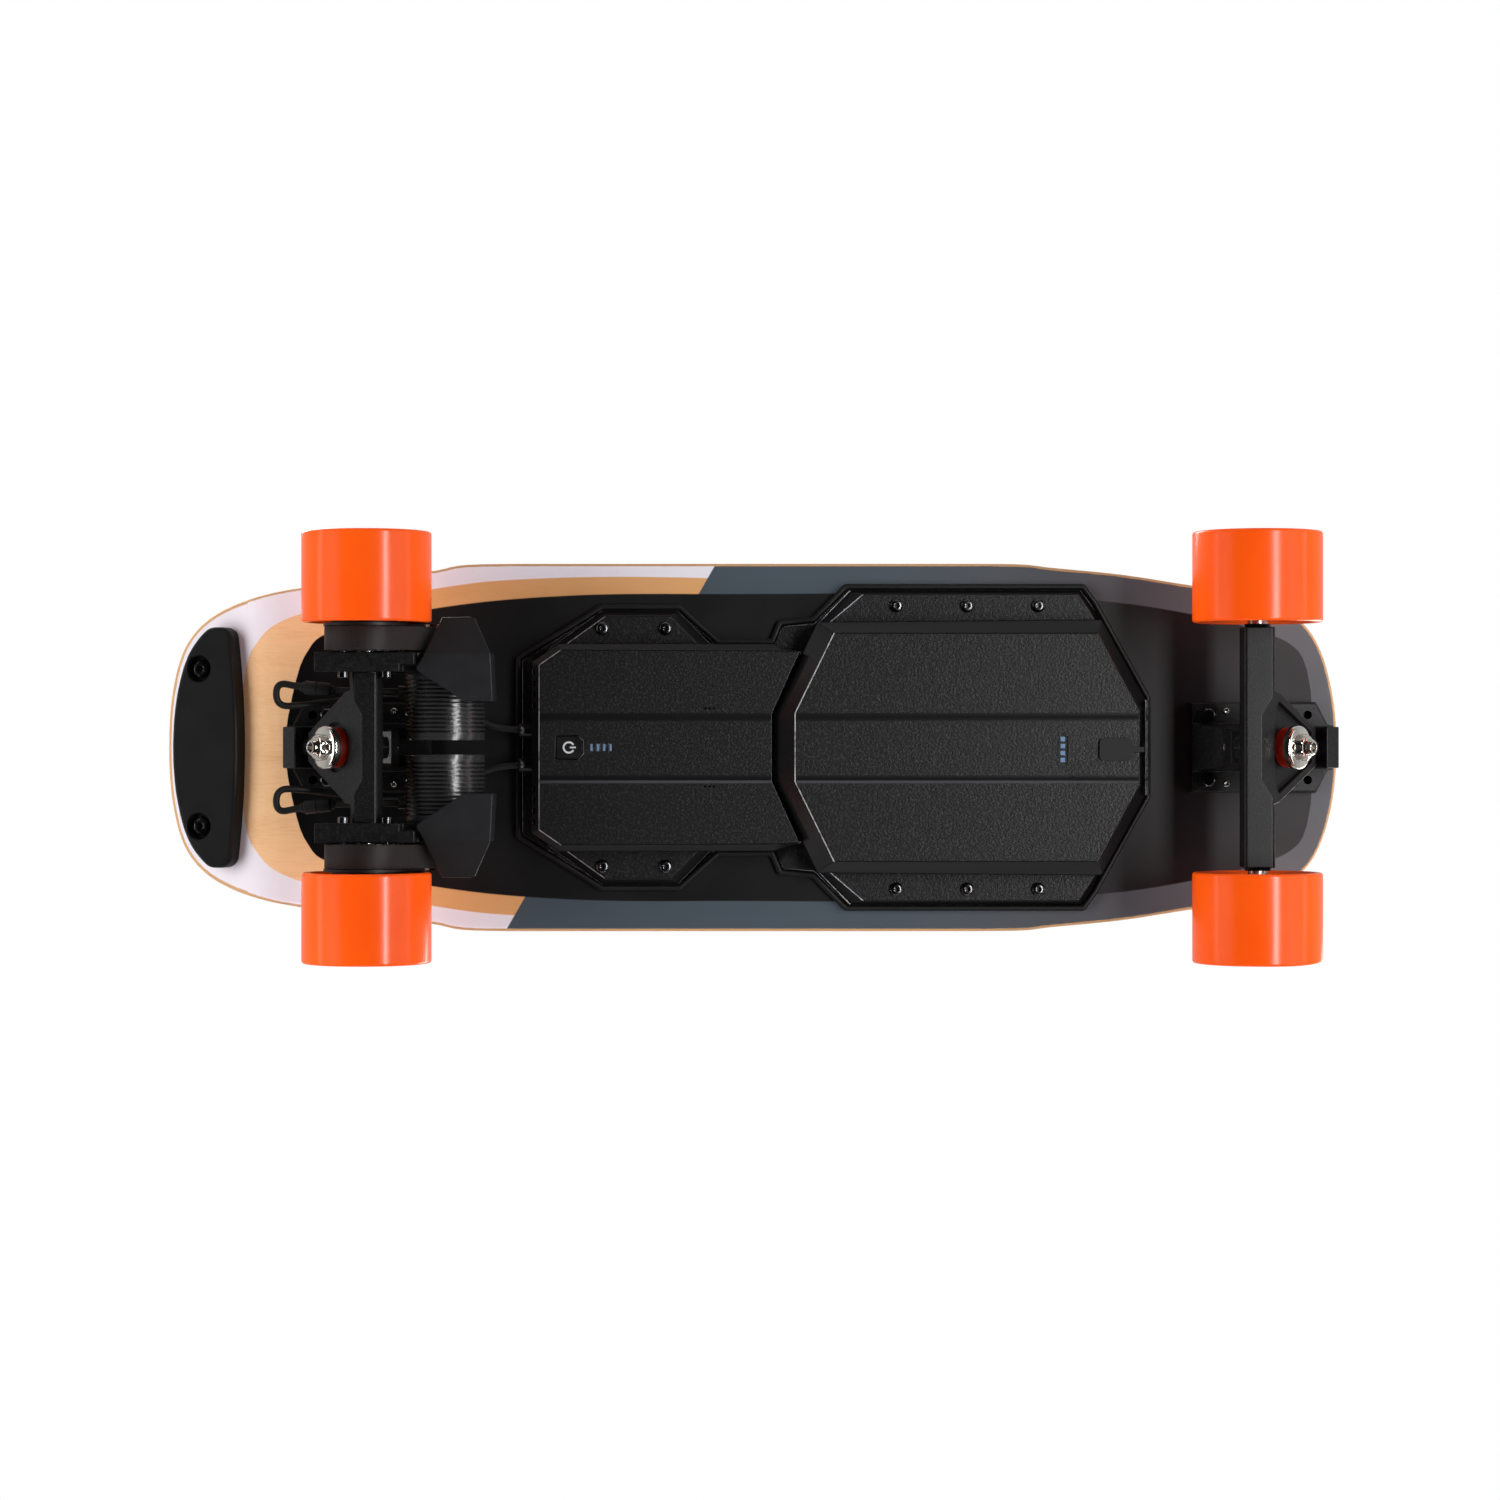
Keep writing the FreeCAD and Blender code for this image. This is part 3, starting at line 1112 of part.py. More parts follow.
def build_belt_guards():
    """The folded guard under each motor and its belt."""
    low, near = "guard_low", "guard_near"
    fold = prism("guard_fold", "YZ_Plane",
                 ((near, low), ("guard_crease", low), ("guard_edge", "guard_edge_low"),
                  ("guard_edge", "guard_edge_low+guard_thick"),
                  ("guard_crease-guard_fold_shift", low + "+guard_thick"),
                  (near, low + "+guard_thick")),
                 "-guard_wall_far-over", "-guard_near+over")
    plan = prism("guard_plan", "XY_Plane", [(str(x), str(y)) for x, y in GUARD],
                 low + "-over", "guard_wall_top+over")
    wall = block(("-guard_wall_far", near, low), ("-guard_wall_far+guard_thick", "guard_crease",
                                                  "guard_wall_top"))
    shell = tied_to_truck(shared([fused([fold, wall]), plan]), "rear")
    near = size("motor_far") + size("guard_foot_play")
    far = size("mount_far") - size("guard_foot_play")
    axle = -size("rear_axle")
    foot = tool_box((axle + size("guard_boss_in"), near, size("guard_low") + size("guard_thick")),
                    (axle + size("guard_boss_out"), far, size("guard_boss_top")))
    foot = foot.cut(drive_link(size("mount_axle_radius"), size("mount_motor_radius"),
                               size("motor_far"), size("mount_far")))
    left = fused([mirrored(shell, "left_shell"), solid("guard_foot", foot)], "left_belt_guard")
    node("left_belt_guard", left)
    node("right_belt_guard", mirrored(left, "right_belt_guard"))


def rounded_route(points):
    """Straight runs joined by the largest tangent arcs that their points leave room for."""
    edges = []
    start = points[0]
    for before, corner, after in zip(points, points[1:], points[2:]):
        back = before - corner
        ahead = after - corner
        room = size("cable_arc_share") * min(back.Length, ahead.Length)
        back.normalize()
        ahead.normalize()
        half = (math.pi - back.getAngle(ahead)) / 2
        radius = room / math.tan(half)
        inward = (back + ahead).normalize()
        middle = corner + inward * (radius / math.cos(half) - radius)
        edges.append(Part.LineSegment(start, corner + back * room).toShape())
        edges.append(Part.Arc(corner + back * room, middle, corner + ahead * room).toShape())
        start = corner + ahead * room
    edges.append(Part.LineSegment(start, points[-1]).toShape())
    return Part.Wire(edges)


def build_cables():
    """Each motor's cable with its inline plug, from the controller cover to the motor can."""
    points = [Vector(*point) for point in CABLE]
    path = rounded_route(points)
    start = points[0]
    radius = size("cable_radius")
    section = Part.Wire(Part.Circle(start, points[1] - start, radius).toShape())
    tube = path.makePipeShell([section], True, False)
    run_start, run_end = points[CABLE_PLUG_RUN], points[CABLE_PLUG_RUN + 1]
    along_run = (run_end - run_start).normalize()
    middle = (run_start + run_end) * 0.5
    plug = Part.makeCylinder(size("plug_radius"), size("plug_long"),
                             middle - along_run * (size("plug_long") / 2), along_run)
    shape = tube.fuse(plug).removeSplitter()
    right = solid("right_motor_cable", shape)
    right.Placement = truck_place("rear")
    node("right_motor_cable", right)
    node("left_motor_cable", mirrored(right, "left_motor_cable"))


# ---- covers ------------------------------------------------------------------------------

def full_outline(half):
    """A closed symmetric outline at height 0 from its left half."""
    points = [Vector(x, y, 0) for x, y in half] + [Vector(x, -y, 0) for x, y in reversed(half)]
    return Part.makePolygon(points + points[:1])


def side_outline(half, side):
    """A closed outline on one side only."""
    points = [Vector(x, side * y, 0) for x, y in half]
    return Part.makePolygon(points + points[:1])


def upright(wire, low, high):
    """A straight-sided solid on an outline between two heights."""
    return Part.Face(wire).translated(Vector(0, 0, low)).extrude(Vector(0, 0, high - low))


def sloped(low_wire, low, high_wire, high):
    """A solid with flat sloping walls between two outlines with equal corners."""
    wires = [low_wire.translated(Vector(0, 0, low)), high_wire.translated(Vector(0, 0, high))]
    return Part.makeLoft(wires, True, True)


def split_by_seam():
    """The ground covered by the battery cover: everything to the nose side of the seam."""
    far = size("deck_length")
    half = ((far, size("deck_half_width")), (SEAM[-1][0], size("deck_half_width"))) + SEAM[::-1]
    return upright(full_outline(half), 0, far)


def inner_flange(inset):
    """The covers' outline moved inward, corner by corner."""
    corners = [Vector(vertex.Point) for vertex in full_outline(FLANGE).OrderedVertexes]
    moved_corners = []
    for index, corner in enumerate(corners):
        before = (corner - corners[index - 1]).normalize()
        after = (corners[(index + 1) % len(corners)] - corner).normalize()
        inward = (before.cross(AXIS_Z) + after.cross(AXIS_Z)).normalize()
        reach = inset / inward.dot(before.cross(AXIS_Z))
        moved_corners.append(corner + inward * reach)
    return Part.makePolygon(moved_corners + moved_corners[:1])


def flange_plate():
    """The thin plate under both covers, inside the rubber bead."""
    return upright(inner_flange(size("bead_width") + size("bead_fit")), size("flange_low"),
                   size("deck_bottom"))


def screw_tools(xs, away):
    """The holes of one cover's screws."""
    low = size("pad_low") - size("over")
    radius = size("cover_screw_hole") + size("hole_play")
    return [Part.makeCylinder(radius, size("deck_bottom") - low + size("over"),
                              Vector(x, side * size(away), low)) for x in xs for side in (1, -1)]


def tool_box(low, high):
    """A box between two corners."""
    return Part.makeBox(*(Vector(*high) - Vector(*low)), Vector(*low))


def slot_row(first, pitch, count):
    """Evenly spaced places."""
    return [first + pitch * number for number in range(int(count))]


def light_boxes(grow):
    """The light bars of the charge display and of the battery gauge."""
    boxes = []
    deep = size("light_deep")
    low = size("controller_low") - size("light_proud")
    for x in slot_row(-size("light_first"), size("light_pitch"), size("light_count")):
        reach = Vector(size("light_long") / 2 + grow, size("light_wide") / 2 + grow, 0)
        middle = Vector(x, 0, low)
        boxes.append(tool_box(middle - reach, middle + reach + Vector(0, 0, deep)))
    low = size("battery_low") + size("gauge_deep") - size("light_proud")
    half = size("gauge_light") / 2 + grow
    first = size("port_side") - size("gauge_pitch") * (size("light_count") - 1) / 2
    for y in slot_row(first, size("gauge_pitch"), size("light_count")):
        boxes.append(tool_box((size("gauge_at") - half, y - half, low),
                              (size("gauge_at") + half, y + half, low + deep)))
    return boxes


def controller_tools():
    """The openings of the controller cover."""
    floor, over = size("controller_floor"), size("over")
    low = size("controller_low") - over
    tools = [upright(full_outline(CONTROLLER_CAVITY), floor, size("deck_bottom"))]
    tools += screw_tools(CONTROLLER_SCREWS, "controller_screw_side")
    for y in slot_row(size("vent_first"), size("vent_pitch"), size("vent_count")):
        for side in (1, -1):
            near, far = sorted((side * y, side * (y + size("vent_width"))))
            tools.append(tool_box((-size("vent_far"), near, size("vent_low")),
                                  (-size("vent_near"), far, size("vent_high"))))
    for x in slot_row(-size("drain_first"), size("drain_pitch"), size("drain_count")):
        for side in (1, -1):
            spot = Vector(x, side * size("drain_side"), low)
            tools.append(Part.makeCylinder(size("drain_radius"), floor - low + over, spot))
    tools.append(button_shape(size("button_gap"), low, floor + over))
    for side in (1, -1):
        spot = Vector(-size("gland_out") - over, side * size("gland_side"), size("gland_height"))
        tools.append(Part.makeCylinder(size("cable_radius"), size("gland_out"), spot, AXIS_X))
    return tools


def button_shape(grow, low, high):
    """The outline of the power button, with two cut corners, between two heights."""
    tail, nose = -size("button_tail") - grow, -size("button_nose") + grow
    half, corner = size("button_half") + grow, size("button_corner")
    return upright(full_outline(((tail, half), (nose - corner, half), (nose, half - corner))),
                   low, high)


def build_controller_cover():
    """The moulded cover over the speed controller, with its cable glands."""
    ledge, deck = size("cover_ledge"), size("deck_bottom")
    foot = full_outline(CONTROLLER_FOOT)
    shape = sloped(foot, ledge, full_outline(CONTROLLER_PANEL), size("controller_low"))
    shape = shape.fuse(upright(foot, ledge, deck))
    for side in (1, -1):
        shape = shape.fuse(sloped(side_outline(CONTROLLER_PAD_FOOT, side), size("flange_low"),
                                  side_outline(CONTROLLER_PAD, side), size("pad_low")))
        spot = Vector(-size("gland_out"), side * size("gland_side"), size("gland_height"))
        long = size("gland_out") - size("gland_in")
        shape = shape.fuse(Part.makeCylinder(size("gland_radius"), long, spot, AXIS_X))
    shape = shape.fuse(flange_plate().cut(split_by_seam()))
    tools = controller_tools() + light_boxes(size("light_play"))
    node("controller_cover", solid("controller_cover", shape.cut(tools).removeSplitter()))


def gauge_tools(low, deep):
    """The recess of the battery gauge: a slot with round ends, from a height upward."""
    x, wide = size("gauge_at"), size("gauge_half_wide")
    reach = size("gauge_half_long") - wide
    near, far = size("port_side") - reach, size("port_side") + reach
    ends = [Part.makeCylinder(wide, deep, Vector(x, y, low)) for y in (near, far)]
    return ends + [tool_box((x - wide, near, low), (x + wide, far, low + deep))]


def build_battery_cover():
    """The moulded cover over the battery, with the charging port's hole and the end plate."""
    ledge, deck = size("cover_ledge"), size("deck_bottom")
    foot = full_outline(BATTERY_FOOT)
    low, over = size("battery_low"), size("over")
    shape = sloped(foot, ledge, full_outline(BATTERY_PANEL), low)
    shape = shape.fuse(upright(foot, ledge, deck))
    for side in (1, -1):
        shape = shape.fuse(sloped(side_outline(BATTERY_PAD_FOOT, side), size("flange_low"),
                                  side_outline(BATTERY_PAD, side), size("pad_low")))
    shape = shape.fuse(flange_plate().common(split_by_seam()))
    half = size("end_plate_half")
    shape = shape.fuse(tool_box((size("end_plate_near"), -half, size("end_plate_low")),
                                (size("end_plate_far"), half, deck)))
    tools = [upright(full_outline(BATTERY_CAVITY), size("battery_floor"), deck),
             upright(full_outline(BATTERY_DEEP_CAVITY), size("battery_deep"), deck)]
    tools += screw_tools(BATTERY_SCREWS, "battery_screw_side")
    tools += gauge_tools(low - over, size("gauge_deep") + over)
    tools.append(Part.makeCylinder(size("port_radius"), size("cover_wall") + 2 * over,
                                   Vector(size("port_at"), size("port_side"), low - over)))
    tools += light_boxes(size("light_play"))
    node("battery_cover", solid("battery_cover", shape.cut(tools).removeSplitter()))


def build_gasket():
    """The rubber bead that runs round both covers."""
    low, deck, over = size("bead_low"), size("deck_bottom"), size("over")
    ring = upright(full_outline(FLANGE), low, deck)
    ring = ring.cut(upright(inner_flange(size("bead_width")), low - over, deck + over))
    node("cover_gasket", solid("cover_gasket", ring))


def build_cover_screws():
    """The ten screws that hold the covers to the deck."""
    pad = size("pad_low")
    head_long = size("cover_screw_head_long")
    bite = size("cover_screw_top") - pad - size("over")
    shank = Part.makeCylinder(size("cover_screw_radius"), bite, Vector(0, 0, pad))
    head = Part.makeCylinder(size("cover_screw_head"), head_long, Vector(0, 0, pad - head_long))
    head = head.makeChamfer(size("cover_screw_chamfer"), [head.Edges[2]])
    copies = [solid("cover_screw", shank.fuse(head).translated(spot))
              for spot in cover_screw_spots()]
    node("cover_screws", grouped(copies, "cover_screws"))


def build_lights_and_button():
    """The light bars, and the power button that presses into the controller cover."""
    bars = [solid("light", box) for box in light_boxes(0)]
    node("indicator_lights", grouped(bars, "indicator_lights"))
    button = button_shape(0, size("button_low"), size("button_high"))
    node("power_button", solid("power_button", button))


def build_charging_port():
    """The charging socket and the rubber flap with its sealing lip and its strap."""
    tube = turned("charge_socket", (("port_bore", "port_low"), ("port_radius", "port_low"),
                                    ("port_radius", "port_top"), ("0", "port_top"),
                                    ("0", "port_bore_top"), ("port_bore", "port_bore_top")))
    node("charge_socket", at(tube, "port_at", "port_side", "0"))
    high = "battery_low-flap_gap"
    lid = prism("flap_lid", "XY_Plane",
                (("flap_tail", "port_side-flap_half"), ("flap_nose", "port_side-flap_half"),
                 ("flap_nose", "port_side+flap_half"), ("flap_tail", "port_side+flap_half")),
                high + "-flap_thick", high)
    lid = rounded(lid, "flap_round",
                  lambda edge: abs(edge.tangentAt(edge.FirstParameter).z) > UPRIGHT)
    strap = block(("flap_nose-over", "port_side-strap_half", high + "-flap_thick"),
                  ("strap_end", "port_side+strap_half", high))
    lip = turned("flap_lip", washer_profile("lip_inner", "lip_outer", high + "-flap_thick/2",
                                            "lip_top"))
    at(lip, "port_at", "port_side", "0")
    node("charge_port_cover", fused([lid, strap, lip], "charge_port_cover"))


def build_electronics():
    """The battery cells, their management board and the speed controller on its heat sink."""
    cells = []
    for number in range(int(size("cell_count"))):
        x = "cell_first+%d*cell_pitch" % number
        cells.append(rod("cell_radius", "cell_length", (x, "cell_gap", "cell_height"), AXIS_Y))
        cells.append(rod("cell_radius", "cell_length", (x, "-cell_gap-cell_length", "cell_height"),
                         AXIS_Y))
    node("battery_cells", grouped(cells, "battery_cells"))
    board = block(("board_tail", "-board_half", "board_low"),
                  ("board_nose", "board_half", "board_low+board_thick"))
    chips = []
    for number in range(int(size("chip_count"))):
        x = "chip_first+%d*chip_pitch" % number
        chips.append(block((x, "-chip_half", "board_low-chip_deep"),
                           (x + "+chip_long", "chip_half", "board_low")))
    node("battery_board", fused([board] + chips, "battery_board"))
    sink = block(("-sink_tail", "-sink_half", "driver_low+driver_thick"),
                 ("-sink_nose", "sink_half", "sink_top"))
    slots = []
    for number in range(int(size("sink_slot_count"))):
        y = "(%d-(sink_slot_count-1)/2)*sink_slot_pitch" % number
        slots.append(block(("-sink_tail-over", y + "-sink_slot_half", "sink_base"),
                           ("-sink_nose+over", y + "+sink_slot_half", "sink_top+over")))
    board = block(("-driver_tail", "-driver_half", "driver_low"),
                  ("driver_nose", "driver_half", "driver_low+driver_thick"))
    stores = []
    for column in range(int(size("store_columns"))):
        for row in range(int(size("store_rows"))):
            spot = ("store_first+%d*store_step" % column,
                    "(%d-(store_rows-1)/2)*store_pitch" % row, "driver_low+driver_thick")
            stores.append(rod("store_radius", "store_long", spot))
    node("speed_controller", fused([board, cut(sink, slots)] + stores, "speed_controller"))


# ---- everything --------------------------------------------------------------------------

def build_all():
    """Build every sub-part."""
    build_deck()
    build_bumper()
    build_riser_pads()
    build_baseplates()
    build_truck_bolts()
    build_kingpins()
    build_pivot_cups()
    for end in ("front", "rear"):
        build_hanger(end)
        build_axle(end)
        for side_name, side in SIDES:
            build_wheel(end, side_name, side)
    build_motor_mounts()
    build_mount_screws()
    build_belts()
    build_belt_guards()
    build_cables()
    for side_name, side in SIDES:
        build_motor_housing(side_name, side)
        build_rotor(side_name, side)
        build_wheel_pulley(side_name, side)
    build_controller_cover()
    build_battery_cover()
    build_gasket()
    build_cover_screws()
    build_lights_and_button()
    build_charging_port()
    build_electronics()


def export_all():
    """Check every object and every sub-part, then write one file for each sub-part."""
    doc.recompute()
    failed = [thing.Name for thing in doc.Objects
              if "Invalid" in thing.State or "Error" in thing.State]
    if failed:
        raise RuntimeError("failed objects: " + ", ".join(failed))
    os.makedirs("parts", exist_ok=True)
    for thing in nodes:
        shape = Part.getShape(thing)
        if shape.isNull() or not shape.isValid() or not shape.Solids:
            raise RuntimeError("bad shape: " + thing.Label)
        shape.exportStep("parts/%s.step" % thing.Label)
    print("%d sub-parts written" % len(nodes))


build_all()
export_all()
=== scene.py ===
import math
import bmesh
import bpy
from mathutils import Matrix, Vector


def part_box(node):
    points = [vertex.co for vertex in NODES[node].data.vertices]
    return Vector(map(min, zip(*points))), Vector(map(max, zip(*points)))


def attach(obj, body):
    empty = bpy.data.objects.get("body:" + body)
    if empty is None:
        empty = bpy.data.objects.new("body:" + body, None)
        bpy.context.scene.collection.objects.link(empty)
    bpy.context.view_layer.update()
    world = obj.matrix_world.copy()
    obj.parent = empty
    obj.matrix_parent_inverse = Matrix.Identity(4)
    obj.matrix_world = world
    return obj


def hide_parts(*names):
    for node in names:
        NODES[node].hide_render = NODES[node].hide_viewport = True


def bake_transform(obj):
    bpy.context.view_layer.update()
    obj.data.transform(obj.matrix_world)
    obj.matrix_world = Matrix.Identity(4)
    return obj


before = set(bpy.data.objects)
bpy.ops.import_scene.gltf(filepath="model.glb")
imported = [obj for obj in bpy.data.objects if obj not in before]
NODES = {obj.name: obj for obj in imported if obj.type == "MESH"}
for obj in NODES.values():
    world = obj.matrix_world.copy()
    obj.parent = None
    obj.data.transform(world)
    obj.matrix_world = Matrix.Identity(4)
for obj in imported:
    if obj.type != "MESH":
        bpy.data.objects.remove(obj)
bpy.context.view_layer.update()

MM = 0.001
SIDES = (("left", 1), ("right", -1))
ENDS = ("front", "rear")
DOWN = Vector((0, 0, -1))


def middle(node):
    """The middle of a CAD node's box."""
    low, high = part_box(node)
    return (low + high) / 2


AXLE = {end: middle(end + "_axle") for end in ENDS}


# ---- material tools ----------------------------------------------------------------------

# The range in which most values of a noise lie.
NOISE_SPAN = (0.3, 0.7)


class Paint:
    """A node material in the making: the principled shader and what feeds it."""

    def __init__(self, name, roughness=0.5, metallic=0.0, specular=0.5):
        self.material = bpy.data.materials.new(name)
        self.material.use_nodes = True
        self.tree = self.material.node_tree
        self.shader = self.tree.nodes["Principled BSDF"]
        self.shader.inputs["Roughness"].default_value = roughness
        self.shader.inputs["Metallic"].default_value = metallic
        self.shader.inputs["Specular IOR Level"].default_value = specular
        self.place = self.tree.nodes.new("ShaderNodeTexCoord").outputs["Object"]
        self.split = self.tree.nodes.new("ShaderNodeSeparateXYZ")
        self.join(self.place, self.split.inputs[0])
        self.x, self.y, self.z = self.split.outputs

    def join(self, source, socket):
        """Feed a socket from an output, or set it to a constant."""
        if isinstance(source, bpy.types.NodeSocket):
            self.tree.links.new(source, socket)
        else:
            socket.default_value = source

    def math(self, kind, first, second=0.0, third=0.0):
        """One arithmetic step."""
        node = self.tree.nodes.new("ShaderNodeMath")
        node.operation = kind
        for value, socket in zip((first, second, third), node.inputs):
            self.join(value, socket)
        return node.outputs[0]

    def ramp(self, value, low, high, start=0.0, end=1.0):
        """A smooth change from start to end while a value goes from low to high."""
        node = self.tree.nodes.new("ShaderNodeMapRange")
        node.interpolation_type = "SMOOTHSTEP"
        for item, socket in zip((value, low, high, start, end), node.inputs):
            self.join(item, socket)
        return node.outputs[0]

    def noise(self, scale, detail=3.0, stretch=(1, 1, 1), rough=0.5):
        """Noise in object space, stretched along the axes."""
        mapping = self.tree.nodes.new("ShaderNodeMapping")
        mapping.inputs["Scale"].default_value = stretch
        self.join(self.place, mapping.inputs["Vector"])
        node = self.tree.nodes.new("ShaderNodeTexNoise")
        node.inputs["Scale"].default_value = scale
        node.inputs["Detail"].default_value = detail
        node.inputs["Roughness"].default_value = rough
        self.join(mapping.outputs[0], node.inputs["Vector"])
        return node.outputs["Fac"]

    def cells(self, scale):
        """The distance to the nearest of many scattered points."""
        node = self.tree.nodes.new("ShaderNodeTexVoronoi")
        node.inputs["Scale"].default_value = scale
        self.join(self.place, node.inputs["Vector"])
        return node.outputs["Distance"]

    def mix(self, factor, first, second):
        """A blend of two colours."""
        node = self.tree.nodes.new("ShaderNodeMix")
        node.data_type = "RGBA"
        self.join(factor, node.inputs[0])
        for colour, socket in ((first, node.inputs[6]), (second, node.inputs[7])):
            self.join((*colour, 1) if isinstance(colour, tuple) else colour, socket)
        return node.outputs[2]

    def bump(self, height, distance):
        """Relief on the surface, after any relief that is there already."""
        node = self.tree.nodes.new("ShaderNodeBump")
        node.inputs["Distance"].default_value = distance
        node.inputs["Strength"].default_value = 1.0
        self.join(height, node.inputs["Height"])
        socket = self.shader.inputs["Normal"]
        if socket.is_linked:
            self.join(socket.links[0].from_socket, node.inputs["Normal"])
        self.join(node.outputs[0], socket)

    def facing(self, axis):
        """How far the surface faces along an axis: 0 is X, 1 is Y and 2 is Z."""
        source = self.tree.nodes.new("ShaderNodeTexCoord")
        split = self.tree.nodes.new("ShaderNodeSeparateXYZ")
        self.join(source.outputs["Normal"], split.inputs[0])
        return split.outputs[axis]

    def colour(self, source):
        """The base colour."""
        self.join(source, self.shader.inputs["Base Color"])

    def rough(self, source):
        """The roughness."""
        self.join(source, self.shader.inputs["Roughness"])

    def wear(self, source, low, high):
        """A roughness that wanders between two values with a noise."""
        self.rough(self.ramp(source, *NOISE_SPAN, low, high))

    def within(self, value, start, end):
        """1 where a value lies between two soft limits, 0 outside them."""
        return self.math("MULTIPLY", self.ramp(value, *start), self.ramp(value, *end, 1.0, 0.0))

    def curve(self, value, points, low, high, top):
        """A curve through given points, as (value, result), over a stretch of the value."""
        node = self.tree.nodes.new("ShaderNodeFloatCurve")
        spline = node.mapping.curves[0]
        scaled = [((x - low) / (high - low), y / top) for x, y in points]
        spline.points[0].location = scaled[0]
        spline.points[1].location = scaled[-1]
        for location in scaled[1:-1]:
            spline.points.new(*location)
        node.mapping.update()
        share = self.math("DIVIDE", self.math("SUBTRACT", value, low), high - low)
        self.join(share, node.inputs["Value"])
        return self.math("MULTIPLY", node.outputs[0], top)


# ---- deck --------------------------------------------------------------------------------

# Linear colours.
MAPLE_LIGHT = (0.91, 0.57, 0.31)
MAPLE_DARK = (0.78, 0.44, 0.21)
MAPLE_AMBER = (0.70, 0.335, 0.115)
# The deck's edge colour: maple darkened as painted shade.
SHADED_PLY_SIDE = (0.42, 0.21, 0.085)
PLY_SEAM = (0.16, 0.075, 0.03)
WHITE_PAINT = (0.84, 0.80, 0.87)
SLATE_PAINT = (0.062, 0.082, 0.102)
NOSE_SLATE = (0.095, 0.093, 0.105)
BLACK_PAINT = (0.0035, 0.0035, 0.004)
NOSE_BLACK = (0.012, 0.009, 0.0102)
# The plies on the deck's edge, in metres, and how much the seams and the bare wood show through
# the painted shade on the edge.
PLY_THICK = 0.0016
SEAM_SPAN = (0.4, 0.5)
SEAM_SHARE = 0.55
SIDE_WOOD = 0.35

# How far down a face has to look to be painted, and how the paint changes along the board.
UNDER_TILT = (-0.95, -0.85)
PAINT_EDGE = 0.0004
SPECK_SPAN = (0.69, 0.75)
SPECK_SHARE = 0.35
AMBER_SPAN = (-0.31, -0.2)
AMBER_SHARE = 0.75
SLATE_FADE = (0.02, 0.3)
BLACK_FADE = (0.12, 0.32)

# Half widths of the painted fields on the underside, at distances along the board.
BLACK_FIELD = ((-0.297, 0.0), (-0.291, 0.036), (-0.2815, 0.062), (-0.2715, 0.0717),
               (-0.205, 0.088), (-0.121, 0.0965), (0.0, 0.0978), (0.146, 0.0975),
               (0.221, 0.0936), (0.281, 0.085), (0.334, 0.071), (0.346, 0.0646),
               (0.353, 0.0557), (0.357, 0.040), (0.360, 0.0))
MAPLE_FIELD = ((-0.326, 0.0), (-0.322, 0.050), (-0.318, 0.062), (-0.287, 0.085),
               (-0.205, 0.1005), (-0.152, 0.1068), (0.0, 0.1072))

# The stretch along the board and the greatest half width which the two fields are drawn in.
FIELD_RANGE = (-0.4, 0.4, 0.13)
BLACK_TAIL_END = (-0.2975, -0.2965)
BLACK_NOSE_END = (0.3595, 0.3605)
MAPLE_TAIL_END = (-0.3265, -0.3255)

# The slanted line between tail and front colours: X on the middle, and X for each metre of Y.
SPLIT_AT = -0.0888
SPLIT_SLANT = -0.573


def maple(paint):
    """The colour of plain maple veneer, with its grain along the board."""
    broad = paint.noise(9, 4, (1, 9, 9), 0.6)
    fine = paint.noise(75, 5, (1, 12, 12), 0.7)
    grain = paint.math("ADD", paint.math("MULTIPLY", broad, 0.45),
                       paint.math("MULTIPLY", fine, 0.65))
    return paint.mix(paint.ramp(grain, 0.45, 0.85), MAPLE_LIGHT, MAPLE_DARK)


def painted(paint, gap):
    """1 inside a painted field, 0 outside it, from the distance to its edge."""
    return paint.ramp(gap, -PAINT_EDGE, PAINT_EDGE)


def deck_fields(paint, wood):
    """The painted underside: white and maple at the tail, slate ahead of them, black inside."""
    away = paint.math("ABSOLUTE", paint.y)
    black_half = paint.curve(paint.x, BLACK_FIELD, *FIELD_RANGE)
    in_black = paint.math("MULTIPLY", painted(paint, paint.math("SUBTRACT", black_half, away)),
                          paint.within(paint.x, BLACK_TAIL_END, BLACK_NOSE_END))
    maple_half = paint.curve(paint.x, MAPLE_FIELD, *FIELD_RANGE)
    in_maple = paint.math("MULTIPLY", painted(paint, paint.math("SUBTRACT", maple_half, away)),
                          paint.ramp(paint.x, *MAPLE_TAIL_END))
    slanted = paint.math("SUBTRACT", paint.x,
                         paint.math("MULTIPLY_ADD", paint.y, SPLIT_SLANT, SPLIT_AT))
    specks = paint.ramp(paint.noise(230, 2), *SPECK_SPAN)
    white = paint.mix(paint.math("MULTIPLY", specks, SPECK_SHARE), WHITE_PAINT, MAPLE_LIGHT)
    amber = paint.math("MULTIPLY", paint.ramp(paint.x, *AMBER_SPAN), AMBER_SHARE)
    tail = paint.mix(in_maple, white, paint.mix(amber, wood, MAPLE_AMBER))
    slate = paint.mix(paint.ramp(paint.x, *SLATE_FADE), SLATE_PAINT, NOSE_SLATE)
    black = paint.mix(paint.ramp(paint.x, *BLACK_FADE), BLACK_PAINT, NOSE_BLACK)
    return paint.mix(in_black, paint.mix(painted(paint, slanted), tail, slate), black)


def deck_sides(paint, wood):
    """The edge of the deck, darkened all over as painted shade, where the seams between its plies
    show darker.
    """
    plies = paint.math("FRACT", paint.math("MULTIPLY", paint.z, 1 / PLY_THICK))
    from_middle = paint.math("ABSOLUTE", paint.math("SUBTRACT", plies, 0.5))
    seam = paint.math("MULTIPLY", paint.ramp(from_middle, *SEAM_SPAN), SEAM_SHARE)
    return paint.mix(SIDE_WOOD, paint.mix(seam, SHADED_PLY_SIDE, PLY_SEAM), wood)


